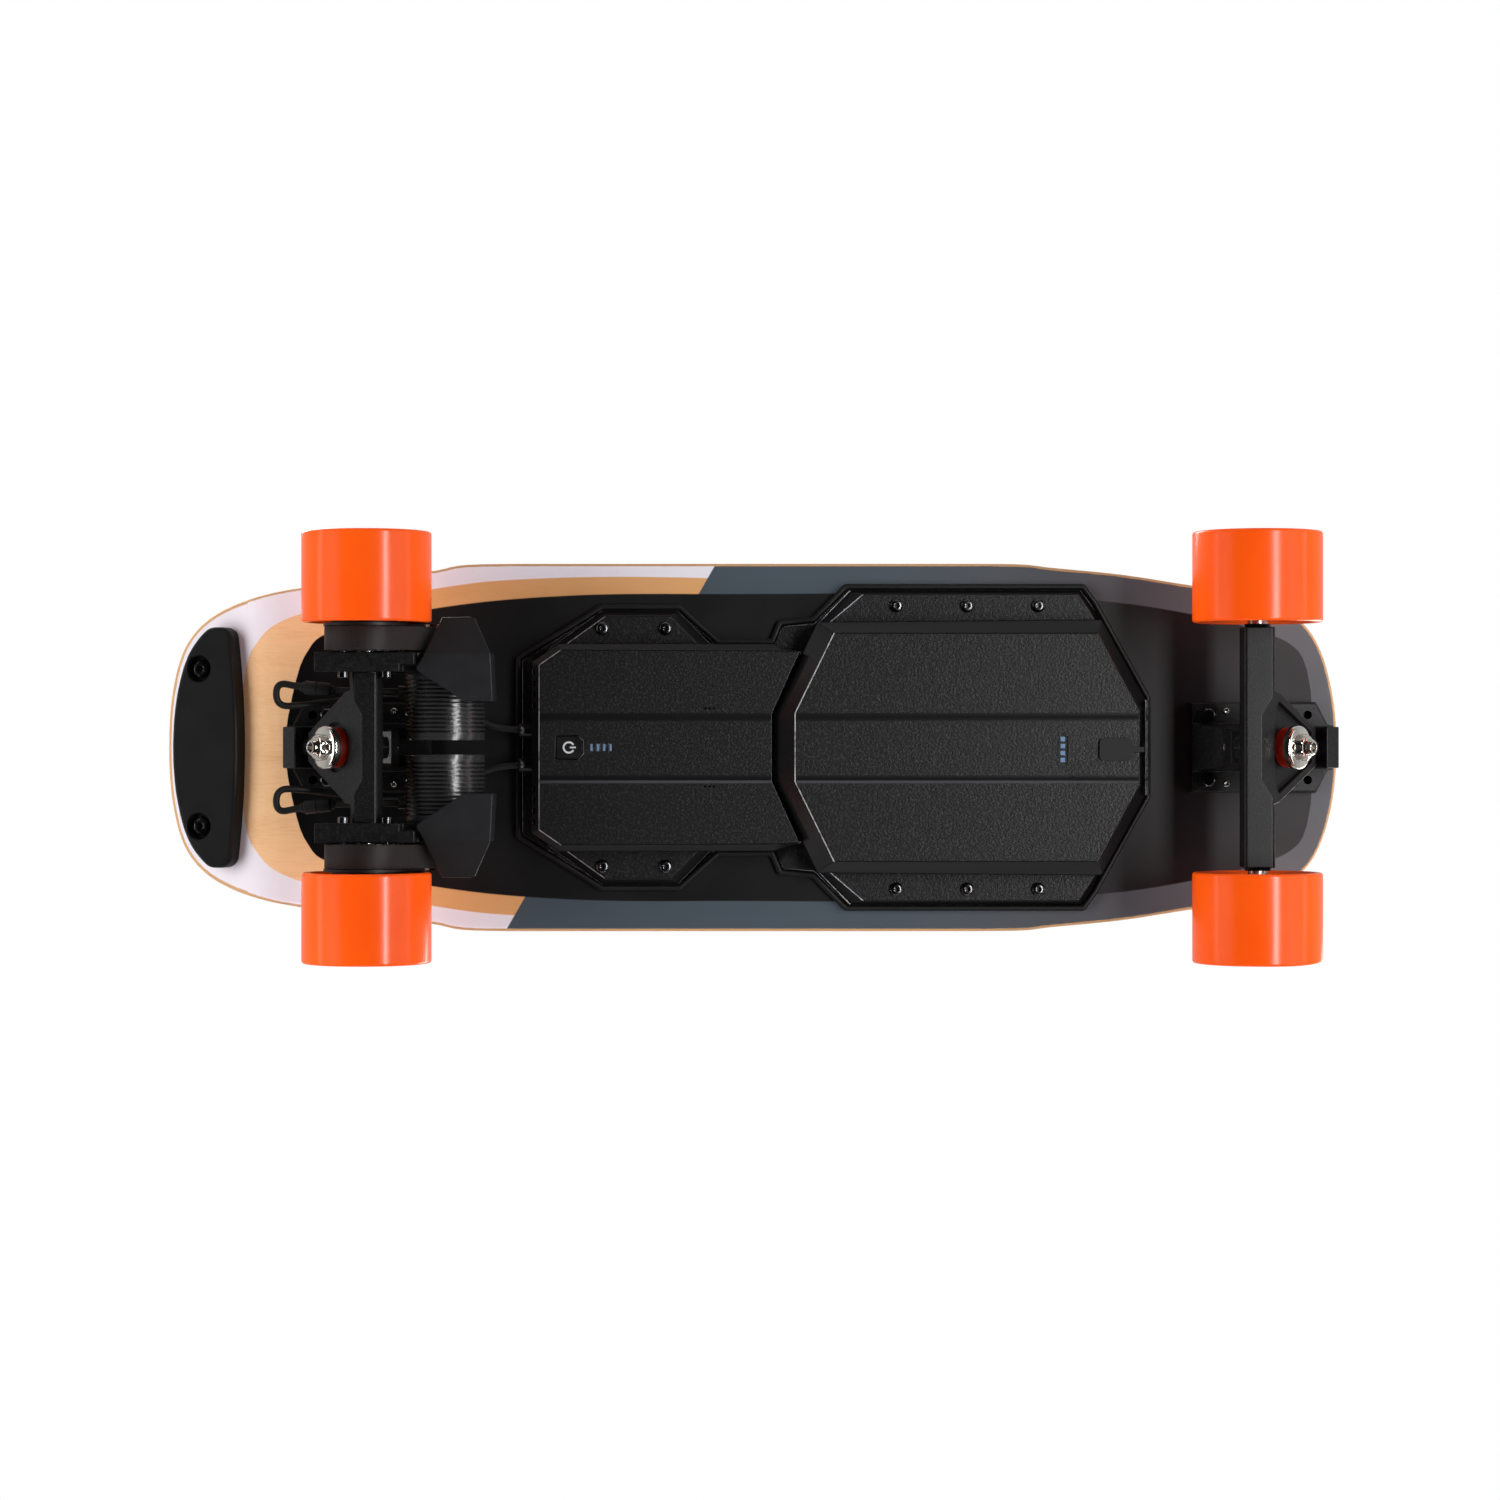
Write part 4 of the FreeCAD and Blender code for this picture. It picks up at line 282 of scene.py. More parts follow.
def deck_material():
    """Maple plies with a painted underside and painted shade on the edge."""
    paint = Paint("maple_deck", specular=0.2)
    wood = maple(paint)
    underside = paint.ramp(paint.facing(2), *UNDER_TILT, 1.0, 0.0)
    paint.colour(paint.mix(underside, deck_sides(paint, wood), deck_fields(paint, wood)))
    paint.wear(paint.noise(18, 4), 0.4, 0.48)
    paint.bump(paint.noise(70, 4, (1, 20, 20)), 0.00003)
    return paint.material


# ---- other materials ---------------------------------------------------------------------

# The two shades which each material's noise mixes.
SHADES = {
    "grip": ((0.035, 0.035, 0.037), (0.008, 0.008, 0.009)),
    "tyre": ((1.0, 0.105, 0.006), (0.97, 0.092, 0.005)),
    "red": ((0.62, 0.020, 0.006), (0.80, 0.034, 0.009)),
    "cast": ((0.0045, 0.0045, 0.0051), (0.01275, 0.01275, 0.0135)),
    "can": ((0.006, 0.006, 0.0065), (0.012, 0.012, 0.013)),
    "cover": ((0.0055, 0.0055, 0.0062), (0.021, 0.021, 0.023)),
    "belt": ((0.008, 0.0055, 0.005), (0.018, 0.013, 0.012)),
    "light": ((0.17, 0.28, 0.46), (0.13, 0.22, 0.38)),
    "circuit": ((0.02, 0.16, 0.06), (0.008, 0.08, 0.03)),
}
RUBBER_CLOUD = 1.6
PLASTIC_CLOUD = 0.8


def grip_material():
    """Black grit on a paper backing."""
    paint = Paint("grip_tape", roughness=0.85)
    grit = paint.cells(1500)
    paint.colour(paint.mix(paint.ramp(grit, 0.1, 0.6), *SHADES["grip"]))
    paint.rough(paint.ramp(grit, 0.1, 0.5, 0.55, 0.95))
    paint.bump(grit, 0.0004)
    paint.bump(paint.noise(7, 3), 0.0003)
    return paint.material


def rubber_material(name, shade=0.005):
    """Black moulded rubber."""
    paint = Paint(name, specular=0.2)
    cloud = paint.noise(60, 4)
    paint.colour(paint.mix(cloud, (shade,) * 3, (shade * RUBBER_CLOUD,) * 3))
    paint.wear(cloud, 0.46, 0.54)
    paint.bump(paint.noise(900, 3), 0.00002)
    return paint.material


def tyre_material():
    """Orange urethane with a soft gloss."""
    paint = Paint("orange_urethane", specular=0.2)
    cloud = paint.noise(14, 3)
    paint.colour(paint.mix(paint.ramp(cloud, *NOISE_SPAN), *SHADES["tyre"]))
    paint.wear(paint.noise(60, 4, (1, 0.2, 1)), 0.2, 0.24)
    paint.bump(paint.noise(500, 2), 0.000004)
    return paint.material


def red_material():
    """Glossy red urethane."""
    paint = Paint("red_urethane", specular=0.35)
    cloud = paint.noise(60, 3)
    paint.colour(paint.mix(cloud, *SHADES["red"]))
    paint.wear(cloud, 0.25, 0.35)
    return paint.material


def cast_material():
    """Black powder coat over cast aluminium."""
    paint = Paint("black_powder_coat", specular=0.22)
    orange_peel = paint.noise(800, 3)
    paint.colour(paint.mix(paint.ramp(orange_peel, 0.45, 0.7), *SHADES["cast"]))
    paint.wear(paint.noise(300, 3), 0.36, 0.46)
    paint.bump(orange_peel, 0.00006)
    return paint.material


# The motors' axis from the rear axle: ahead of it, and its height, in millimetres.
MOTOR_AT = (45.9, 67.5)
# The ribs' crests: their radius from the motors' axis, how soft the edge of their painted
# highlight is, its colour and its strength.
RIB_CREST = 0.025
RIB_ROUND = (0.0005, 0.0002)
RIB_HIGHLIGHT_COLOUR = (0.02625, 0.02625, 0.02775)
RIB_HIGHLIGHT_SHARE = 0.8


def can_material():
    """Black anodised aluminium, with a painted highlight on the crests of its turned ribs."""
    paint = Paint("black_anodised", specular=0.5)
    streak = paint.noise(120, 3, (0.3, 8, 0.3))
    along = paint.math("SUBTRACT", paint.x, AXLE["rear"].x + MOTOR_AT[0] * MM)
    across = paint.math("SUBTRACT", paint.z, MOTOR_AT[1] * MM)
    reach = paint.math("SQRT", paint.math("MULTIPLY_ADD", along, along,
                                          paint.math("MULTIPLY", across, across)))
    # A painted highlight on the crest of each rib.
    crest_highlight = paint.ramp(reach, *[RIB_CREST - depth for depth in RIB_ROUND])
    paint.colour(paint.mix(paint.math("MULTIPLY", crest_highlight, RIB_HIGHLIGHT_SHARE),
                           paint.mix(streak, *SHADES["can"]), RIB_HIGHLIGHT_COLOUR))
    paint.wear(streak, 0.24, 0.3)
    return paint.material


def metal_material(name, light, dark, low, high):
    """Plated steel with fine wear in its gloss."""
    paint = Paint(name, metallic=1.0)
    cloud = paint.noise(90, 3)
    paint.colour(paint.mix(paint.ramp(cloud, 0.35, 0.7), light, dark))
    paint.wear(paint.noise(120, 3), low, high)
    return paint.material


# The covers' panels: how flat and how low they are, and their long creases beside the middle.
FLAT_TILT = (-0.998, -0.985)
PANEL_LOW = (0.088, 0.090)
PANEL_MIDDLE = 0.0005
CREASE_START = (0.0168, 0.0178)
CREASE_END = (0.0215, 0.0225)
CREASE_STEP = (0.0172, 0.0220)
# Where a painted highlight line lies on the crease at +Y.
CREASE_HIGHLIGHT_SPAN = (0.0200, 0.0206)
CREASE_DEEP = 0.0012
# The colour of that painted highlight line.
CREASE_HIGHLIGHT_COLOUR = (0.055, 0.055, 0.06)
GLINT_SPAN = (0.5, 0.68)
GRAIN_DEEP = 0.00028
# The painted highlight on the rounded edges at the tail's side: the tilts it lies between, how far
# it turns to the tail, and its colour.
EDGE_HIGHLIGHT_FROM = (-0.985, -0.95)
EDGE_HIGHLIGHT_TO = (-0.88, -0.82)
EDGE_HIGHLIGHT_TURN = (-0.2, -0.1)
EDGE_HIGHLIGHT_COLOUR = (0.45, 0.45, 0.47)


def painted_edge_highlight(paint):
    """The rounded edges on the tail's side, with a painted highlight in patches."""
    rounding = paint.within(paint.facing(2), EDGE_HIGHLIGHT_FROM, EDGE_HIGHLIGHT_TO)
    tailward = paint.ramp(paint.facing(0), *EDGE_HIGHLIGHT_TURN, 1.0, 0.0)
    patches = paint.ramp(paint.noise(260, 3), 0.3, 0.55, 0.35, 1.0)
    return paint.math("MULTIPLY", paint.math("MULTIPLY", rounding, tailward), patches)


def cover_material():
    """Black moulded plastic: grained panels and pads with painted glints, smooth slopes, creases
    with a painted highlight line, and painted highlights on the edges at the tail's side.
    """
    paint = Paint("textured_cover", specular=0.24)
    flat = paint.ramp(paint.facing(2), *FLAT_TILT, 1.0, 0.0)
    off_centre = paint.math("SUBTRACT", paint.y, PANEL_MIDDLE)
    away = paint.math("ABSOLUTE", off_centre)
    on_panel = paint.math("MULTIPLY", paint.ramp(paint.z, *PANEL_LOW, 1.0, 0.0), flat)
    crease = paint.math("MULTIPLY", paint.within(away, CREASE_START, CREASE_END), on_panel)
    textured = paint.math("MULTIPLY", flat, paint.math("SUBTRACT", 1.0, crease))
    grain = paint.noise(620, 3, (1, 1, 1), 0.65)
    glint = paint.math("MULTIPLY", paint.ramp(grain, *GLINT_SPAN), textured)
    # A painted highlight line on the outer part of the crease at +Y.
    crease_highlight = paint.math("MULTIPLY", crease, paint.ramp(off_centre, *CREASE_HIGHLIGHT_SPAN))
    plain = paint.mix(crease_highlight, paint.mix(glint, *SHADES["cover"]), CREASE_HIGHLIGHT_COLOUR)
    # The painted highlights on the rounded edges at the tail's side go over the rest.
    paint.colour(paint.mix(painted_edge_highlight(paint), plain, EDGE_HIGHLIGHT_COLOUR))
    paint.rough(paint.math("MULTIPLY_ADD", textured, 0.06, 0.34))
    step = paint.math("MULTIPLY", paint.ramp(away, *CREASE_STEP), on_panel)
    paint.bump(step, CREASE_DEEP)
    paint.bump(paint.math("MULTIPLY", grain, textured), GRAIN_DEEP)
    return paint.material


def belt_material():
    """Black neoprene with a fine woven back."""
    paint = Paint("belt_rubber", roughness=0.55, specular=0.2)
    weave = paint.noise(500, 2, (1, 4, 1))
    paint.colour(paint.mix(weave, *SHADES["belt"]))
    paint.bump(weave, 0.00003)
    return paint.material


def plastic_material(name, colour, low=0.25, high=0.4):
    """Smooth moulded plastic."""
    paint = Paint(name, specular=0.28)
    cloud = paint.noise(90, 3)
    darker = tuple(channel * PLASTIC_CLOUD for channel in colour)
    paint.colour(paint.mix(cloud, colour, darker))
    paint.wear(cloud, low, high)
    paint.bump(paint.noise(800, 2), 0.00001)
    return paint.material


def light_material():
    """A frosted pale blue window."""
    paint = Paint("light_window", roughness=0.3)
    cloud = paint.noise(300, 2)
    paint.colour(paint.mix(cloud, *SHADES["light"]))
    paint.bump(cloud, 0.00001)
    return paint.material


def circuit_material():
    """Green solder mask with copper traces under it."""
    paint = Paint("circuit_board", roughness=0.3)
    traces = paint.ramp(paint.cells(160), 0.28, 0.34)
    paint.colour(paint.mix(traces, *SHADES["circuit"]))
    return paint.material


# ---- mesh tools --------------------------------------------------------------------------

WELD = 1e-6
SMOOTH_BELOW = math.radians(38)
SOFT_ABOVE = math.radians(35)
FLAT_BELOW = math.radians(0.4)
SHARP_ABOVE = math.radians(20)
ROUND_SEGMENTS = 3
HEX = "hexagon"


def dress(node, material):
    """Give a CAD node its material."""
    mesh = NODES[node].data
    mesh.materials.clear()
    mesh.materials.append(material)


def soften(node, width):
    """Round the sharp edges of a CAD node with modifiers; its mesh stays as it is."""
    piece = NODES[node]
    weld = piece.modifiers.new("weld", "WELD")
    weld.merge_threshold = WELD
    bevel = piece.modifiers.new("edge", "BEVEL")
    bevel.width = width * MM
    bevel.segments = ROUND_SEGMENTS
    bevel.limit_method = "ANGLE"
    bevel.angle_limit = SOFT_ABOVE
    bevel.harden_normals = True


def made(name, work, material, body, replaced=()):
    """Turn a bmesh into a piece with its material, which rides on a body."""
    bmesh.ops.recalc_face_normals(work, faces=work.faces)
    mesh = bpy.data.meshes.new(name)
    work.to_mesh(mesh)
    work.free()
    mesh.materials.append(material)
    for face in mesh.polygons:
        face.use_smooth = True
    mesh.set_sharp_from_angle(angle=SMOOTH_BELOW)
    piece = bpy.data.objects.new(name, mesh)
    bpy.context.scene.collection.objects.link(piece)
    if replaced:
        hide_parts(*replaced)
    if body:
        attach(piece, body)
    return piece


def shade_evenly(piece):
    """Let the large faces set the shading, so that rounded edges stay narrow."""
    piece.modifiers.new("shading", "WEIGHTED_NORMAL").keep_sharp = True


def refined(node, body, width, shortest):
    """A copy of a CAD node, in its place, whose long sharp edges are rounded (in millimetres)."""
    source = NODES[node]
    material = source.data.materials[0]
    work = bmesh.new()
    work.from_mesh(source.data)
    bmesh.ops.remove_doubles(work, verts=work.verts, dist=WELD)
    bmesh.ops.dissolve_limit(work, angle_limit=FLAT_BELOW, verts=work.verts, edges=work.edges)
    sharp = [edge for edge in work.edges
             if edge.is_manifold and edge.calc_face_angle() > SHARP_ABOVE
             and edge.calc_length() > shortest * MM]
    bmesh.ops.bevel(work, geom=sharp, offset=width * MM, offset_type="OFFSET",
                    segments=ROUND_SEGMENTS, profile=0.5, affect="EDGES",
                    clamp_overlap=False, loop_slide=False)
    shade_evenly(made(f"{node}_finished", work, material, body, [node]))


def ring_radius(shape, radius, turn):
    """The radius of a ring at a turn: a circle's, or a hexagon's from half its width."""
    if shape == "round":
        return radius
    sector = math.tau / 6
    return radius / math.cos(turn % sector - sector / 2)


def lathe(work, rings, place, steps=72, closed=False):
    """Join rings given in millimetres as (distance, radius, shape) about the Z axis of a place."""
    made_rings = []
    for ring in rings:
        distance, radius = ring[:2]
        shape = ring[2] if len(ring) > 2 else "round"
        if radius == 0:
            made_rings.append([work.verts.new(place @ Vector((0, 0, distance * MM)))])
            continue
        verts = []
        for step in range(steps):
            turn = math.tau * step / steps
            reach = ring_radius(shape, radius, turn) * MM
            spot = Vector((reach * math.cos(turn), reach * math.sin(turn), distance * MM))
            verts.append(work.verts.new(place @ spot))
        made_rings.append(verts)
    pairs = list(zip(made_rings, made_rings[1:]))
    if closed:
        pairs.append((made_rings[-1], made_rings[0]))
    for first, second in pairs:
        for step in range(steps):
            after = (step + 1) % steps
            corners = (first[step % len(first)], first[after % len(first)],
                       second[after % len(second)], second[step % len(second)])
            unique = list(dict.fromkeys(corners))
            if len(unique) > 2:
                work.faces.new(unique)


def bridge(work, rings):
    """Join closed rings of the same number of points with four-sided faces."""
    for first, second in zip(rings, rings[1:]):
        count = len(first)
        for index in range(count):
            after = (index + 1) % count
            work.faces.new((first[index], first[after], second[after], second[index]))


def boundary_chains(faces):
    """The closed chains of points round a set of faces."""
    inside = set(faces)
    following = {}
    for face in faces:
        for loop in face.loops:
            if any(other not in inside for other in loop.edge.link_faces):
                following[loop.vert] = loop.link_loop_next.vert
    chains = []
    while following:
        start, point = following.popitem()
        chain = [start]
        while point != start:
            chain.append(point)
            point = following.pop(point)
        chains.append([vert.co.copy() for vert in chain])
    return chains


def chain_length(points):
    """The length round a closed chain of points."""
    return sum((points[index] - points[index - 1]).length for index in range(len(points)))


def moved_in(points, distance):
    """A flat closed chain of points in its XY plane, moved inward by a distance."""
    count = len(points)
    pairs = [(points[index], points[(index + 1) % count]) for index in range(count)]
    area = sum(first.x * second.y - second.x * first.y for first, second in pairs)
    turn = 1 if area > 0 else -1
    result = []
    for index, point in enumerate(points):
        ahead = (points[(index + 1) % count] - points[index - 1]).normalized()
        result.append(point + Vector((-ahead.y, ahead.x, 0)) * turn * distance)
    return result


def arc(distance, radius, reach, start, end, steps=5):
    """The rings of a rounded edge, from one angle to another in degrees, 0 along the axis."""
    rings = []
    for step in range(steps + 1):
        turn = math.radians(start + (end - start) * step / steps)
        rings.append((distance + reach * math.cos(turn), radius + reach * math.sin(turn)))
    return rings


def frame_at(origin, direction):
    """A place whose Z axis points along a direction."""
    turn = Vector(direction).normalized().to_track_quat("Z", "Y").to_matrix().to_4x4()
    return Matrix.Translation(Vector(origin)) @ turn


# ---- places on the two trucks ------------------------------------------------------------

# The middle of the hanger's ring, out from its axle and above the ground, in millimetres.
RING_OUT = 14.7
RING_HEIGHT = 58
KINGPIN_LEAN = math.radians(50)
OUTWARD = {"front": 1, "rear": -1}


def kingpin(end):
    """The kingpin's own frame: it starts in the middle of the hanger ring and runs down."""
    out = OUTWARD[end]
    origin = Vector((AXLE[end].x + out * RING_OUT * MM, 0, RING_HEIGHT * MM))
    return frame_at(origin, (out * math.sin(KINGPIN_LEAN), 0, -math.cos(KINGPIN_LEAN)))


def wheel_frame(end, sign):
    """A wheel's own frame: on the board's middle plane, +Z out along the axle."""
    return frame_at(Vector((AXLE[end].x, 0, AXLE[end].z)), (0, sign, 0))


# ---- CAD nodes with their finishes -------------------------------------------------------

DECK = deck_material()
GRIP = grip_material()
RUBBER = rubber_material("black_rubber")
TYRE = tyre_material()
RED = red_material()
CAST = cast_material()
CAN = can_material()
COVER = cover_material()
BELT = belt_material()
GUARD = plastic_material("guard_plastic", (0.012, 0.012, 0.0135), 0.4, 0.48)
PULLEY = plastic_material("pulley_nylon", (0.009, 0.009, 0.01), 0.35, 0.5)
CORE = plastic_material("core_nylon", (0.012, 0.012, 0.013), 0.3, 0.42)
NICKEL = metal_material("nickel_plate", (0.80, 0.76, 0.70), (0.68, 0.64, 0.59), 0.12, 0.18)
STEEL = metal_material("bright_steel", (0.62, 0.61, 0.59), (0.50, 0.49, 0.48), 0.2, 0.3)
BLACK_STEEL = metal_material("black_oxide_steel", (0.11, 0.11, 0.115), (0.06, 0.06, 0.063),
                             0.22, 0.32)
SHIELD = rubber_material("bearing_shield")
CABLE_SKIN = rubber_material("cable_skin", 0.008)
LIGHT = light_material()
CIRCUIT = circuit_material()
CELL = plastic_material("cell_wrap", (0.02, 0.11, 0.30))
MARK = plastic_material("mark_white", (0.75, 0.76, 0.78))
BUTTON = plastic_material("button_plastic", (0.006, 0.006, 0.0068), 0.3, 0.42)

FINISHES = {
    DECK: ("deck",),
    GRIP: ("grip_tape",),
    RUBBER: ("tail_bumper", "riser_pads", "cover_gasket", "charge_port_cover", "pivot_cups",
             "left_motor_cable", "right_motor_cable"),
    CAST: ("front_baseplate", "rear_baseplate", "front_hanger", "rear_hanger",
           "left_motor_mount", "right_motor_mount"),
    CAN: ("left_motor_housing", "right_motor_housing"),
    COVER: ("controller_cover", "battery_cover", "charge_socket"),
    BELT: ("left_belt", "right_belt"),
    GUARD: ("left_belt_guard", "right_belt_guard"),
    PULLEY: ("left_wheel_pulley", "right_wheel_pulley"),
    NICKEL: ("kingpin_nuts", "cup_washers", "kingpins"),
    STEEL: ("front_axle", "rear_axle", "left_motor_rotor", "right_motor_rotor",
            "left_motor_pulley", "right_motor_pulley"),
    BLACK_STEEL: ("bumper_bolts", "cover_screws", "truck_nuts", "truck_bolts",
                  "motor_mount_screws", "plate_screws"),
    RED: ("front_bushings", "rear_bushings"),
    LIGHT: ("indicator_lights",),
    CIRCUIT: ("battery_board", "speed_controller"),
    CELL: ("battery_cells",),
    BUTTON: ("power_button",),
}
for finish, names in FINISHES.items():
    for name in names:
        dress(name, finish)
for end in ENDS:
    for side, _ in SIDES:
        dress(f"{end}_{side}_tyre", TYRE)
        dress(f"{end}_{side}_core", CORE)
        dress(f"{end}_{side}_bearings", STEEL)


# ---- wheels ------------------------------------------------------------------------------

# Distances out from the board's middle, and radii, in millimetres.
WHEEL_IN = 77
WHEEL_OUT = 133
TYRE_RADIUS = 40
SHOULDER = 1.8
BEARINGS = ((82, 89), (113, 120))
SHIELD_BAND = (7.2, 9.4)
SIDEWAYS = 0.8

# Half outlines, from the bore out and from the rim in: the depth from the face, and the radius.
TYRE_SIDE = ((2.2, 25), (1.4, 25.8), (1.1, 27), (1.1, 33), (0.3, 34.6), (0, 36))
BEARING_SIDE = ((0.3, 11), (0, 10.7), (0, 9.5), (0.5, 9.3), (0.5, 7.3), (0, 7.1), (0, 6.3),
                (0.2, 6.08))


def tyre(end, side, sign):
    """A cast tyre: flat tread, tight shoulders, and a shallow dish in each side."""
    work = bmesh.new()
    rings = [(WHEEL_IN + depth, radius) for depth, radius in TYRE_SIDE]
    rings += arc(WHEEL_IN + SHOULDER, TYRE_RADIUS - SHOULDER, SHOULDER, 180, 90)
    rings += [((WHEEL_IN + WHEEL_OUT) / 2, TYRE_RADIUS)]
    rings += arc(WHEEL_OUT - SHOULDER, TYRE_RADIUS - SHOULDER, SHOULDER, 90, 0)
    rings += [(WHEEL_OUT - depth, radius) for depth, radius in reversed(TYRE_SIDE)]
    lathe(work, rings, wheel_frame(end, sign), steps=160, closed=True)
    name = f"{end}_{side}_tyre"
    made(f"{name}_cast", work, TYRE, f"{end}_{side}_wheel", [name])


def bearings(end, side, sign):
    """Two ball bearings: outer race, recessed dark shield and inner race."""
    work = bmesh.new()
    for low, high in BEARINGS:
        rings = [(low + depth, radius) for depth, radius in BEARING_SIDE]
        rings += [(high - depth, radius) for depth, radius in reversed(BEARING_SIDE)]
        lathe(work, rings, wheel_frame(end, sign), closed=True)
    name = f"{end}_{side}_bearings"
    piece = made(f"{name}_pair", work, STEEL, f"{end}_{side}_wheel", [name])
    piece.data.materials.append(SHIELD)
    axle = AXLE[end]
    inner, outer = SHIELD_BAND
    for face in piece.data.polygons:
        spot = face.center
        away = math.hypot(spot.x - axle.x, spot.z - axle.z) / MM
        if inner < away < outer and abs(face.normal.y) > SIDEWAYS:
            face.material_index = 1


# ---- nuts, bolts and screws --------------------------------------------------------------

def nut_rings(low, high, half, bore):
    """A hexagonal nut with chamfered corners, from its lower bore edge round to its upper."""
    return [(low, bore), (low, half * 0.97), (low + 0.5, half, HEX),
            (high - 0.9, half, HEX), (high - 0.25, half), (high, half * 0.9),
            (high, bore + 0.5), (high - 0.5, bore)]


# Places in millimetres: along the board and to each side of its middle.
COVER_SCREWS = ((-93.5, 75.5), (-53.4, 75.5), (93, 90), (138, 90), (183, 90))
COVER_HEAD = ((2.8, 0), (2.8, 4.3), (1.9, 4.3), (1.2, 4.1), (0.6, 3.6), (0.2, 2.9), (0, 2.1),
              (0, 1.62), (0.15, 1.35, HEX), (1.6, 1.35, HEX), (1.8, 0))
SHANK_START = 2.7
SHANK_RADIUS = 1.9

# Places from the axle, out towards the nearer end of the board, and to each side.
PLATE_BOTTOM = 104
TRUCK_BOLTS = ((-22.5, 20.64), (31.48, 20.64))
PLATE_SCREWS = ((-10.5, 23.1),)
TRUCK_NUT = ((-5, 2.5), (-5, 3.3), (-4.6, 3.75), (-4.2, 4, HEX), (-0.3, 4, HEX), (0, 3.8),
             (0, 2.5))
PLATE_SCREW = ((3.8, 0), (3.8, 1.98), (-0.8, 1.98), (-1.2, 1.6), (-1.2, 1.25), (-1, 1, HEX),
               (0.8, 1, HEX), (1, 0))

# The motor mounts' faces, and their screws: a head with a hexagonal socket, and its length.
MOTOR_FACE = 46.5
MOUNT_FACE = 58.5
MOUNT_HEAD = ((4, 2), (4, 3.5), (0.5, 3.5), (0, 3), (0, 1.9), (0.2, 1.5, HEX), (2.2, 1.5, HEX),
              (2.4, 0))
CLAMP_SCREWS = ((-13.3, 31), (13.3, 31))
CLAMP_LONG = 16.6
FACE_RING = 15
FACE_LONG = 14.4

# The bumper, in the kicked tail's own frame: X along the tail and Z square to it.
TAIL_TURN = math.radians(20)
TAIL = Matrix.Translation((-0.320521, 0, 0.116618)) @ Matrix.Rotation(TAIL_TURN, 4, "Y")
TAIL_BACK = TAIL.inverted()
BUMPER_THICK = 11
BUMPER_ROUND = 2.6
ROUND_STEPS = 6
POCKET_AT = (-29.5, 50.3)
POCKET_RADIUS = 8.5
POCKET_ROUND = 0.8
POCKET_FLOOR = -4.5
BUMPER_BOLT = ((-6.5, 0), (-6.7, 1.9, HEX), (-8.4, 1.9, HEX), (-8.5, 2.3), (-8.5, 4.3),
               (-8.1, 5, HEX), (-4.5, 5, HEX), (-4.5, 2.48), (3.2, 2.48), (3.2, 0))


def cover_screws():
    """The ten domed socket screws of the covers with their shanks."""
    work = bmesh.new()
    low, high = [corner.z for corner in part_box("cover_screws")]
    long = (high - low) / MM
    shank = [(SHANK_START, SHANK_RADIUS), (long, SHANK_RADIUS), (long, 0)]
    for x, side in COVER_SCREWS:
        for sign in (1, -1):
            place = Matrix.Translation((x * MM, sign * side * MM, low))
            lathe(work, COVER_HEAD, place, steps=48)
            lathe(work, shank, place, steps=24)
    made("cover_screw_set", work, BLACK_STEEL, "board", ["cover_screws"])


def truck_places(end, spots):
    """The places on a truck's plate for spots given on one side of it."""
    out = OUTWARD[end]
    return [Matrix.Translation(Vector((AXLE[end].x + out * x * MM, sign * side * MM,
                                       PLATE_BOTTOM * MM)))
            for x, side in spots for sign in (1, -1)]


def plate_fasteners():
    """The nuts under both truck plates, and the small socket screws beside them."""
    nuts, screws = bmesh.new(), bmesh.new()
    for end in ENDS:
        for place in truck_places(end, TRUCK_BOLTS):
            lathe(nuts, TRUCK_NUT, place, steps=48, closed=True)
        for place in truck_places(end, PLATE_SCREWS):
            lathe(screws, PLATE_SCREW, place, steps=36)
    made("truck_nut_set", nuts, BLACK_STEEL, "board", ["truck_nuts"])
    made("plate_screw_set", screws, STEEL, "board", ["plate_screws"])


def mount_screw(work, x, across, z, inward, long):
    """One screw at a place from the rear axle, its head's face outermost."""
    place = frame_at((AXLE["rear"].x + x * MM, across * MM, z * MM), (0, inward, 0))
    lathe(work, ((long, 0), (long, 2), *MOUNT_HEAD), place, steps=36)


def mount_screws():
    """The socket screws that clamp the motor mounts and hold the motors to them."""
    work = bmesh.new()
    for _, sign in SIDES:
        for x, z in CLAMP_SCREWS:
            mount_screw(work, -x, sign * (MOTOR_FACE - 4), z, sign, CLAMP_LONG)
        for number in range(4):
            turn = math.radians(45 + 90 * number)
            x = MOTOR_AT[0] + FACE_RING * math.cos(turn)
            z = MOTOR_AT[1] + FACE_RING * math.sin(turn)
            mount_screw(work, x, sign * MOUNT_FACE, z, -sign, FACE_LONG)
    made("mount_screw_set", work, BLACK_STEEL, "rear_truck",
         ["motor_mount_screws"])


# ---- tail bumper -------------------------------------------------------------------------

def pocket(sign):
    """The middle of a bolt pocket on the bumper's upper face."""
    return TAIL @ Vector((POCKET_AT[0] * MM, sign * POCKET_AT[1] * MM, 0))


def bumper_outline():
    """The outline of the CAD bumper's lower face, in the tail's frame."""
    work = bmesh.new()
    work.from_mesh(NODES["tail_bumper"].data)
    bmesh.ops.remove_doubles(work, verts=work.verts, dist=WELD)
    bmesh.ops.recalc_face_normals(work, faces=work.faces)
    down = TAIL.to_3x3() @ DOWN
    deep = 0.99 * BUMPER_THICK * MM
    lowest = [face for face in work.faces
              if face.normal.dot(down) > 0.999
              and min((TAIL_BACK @ vert.co).z for vert in face.verts) < -deep]
    outline = max(boundary_chains(lowest), key=chain_length)
    work.free()
    return [TAIL_BACK @ point for point in outline]


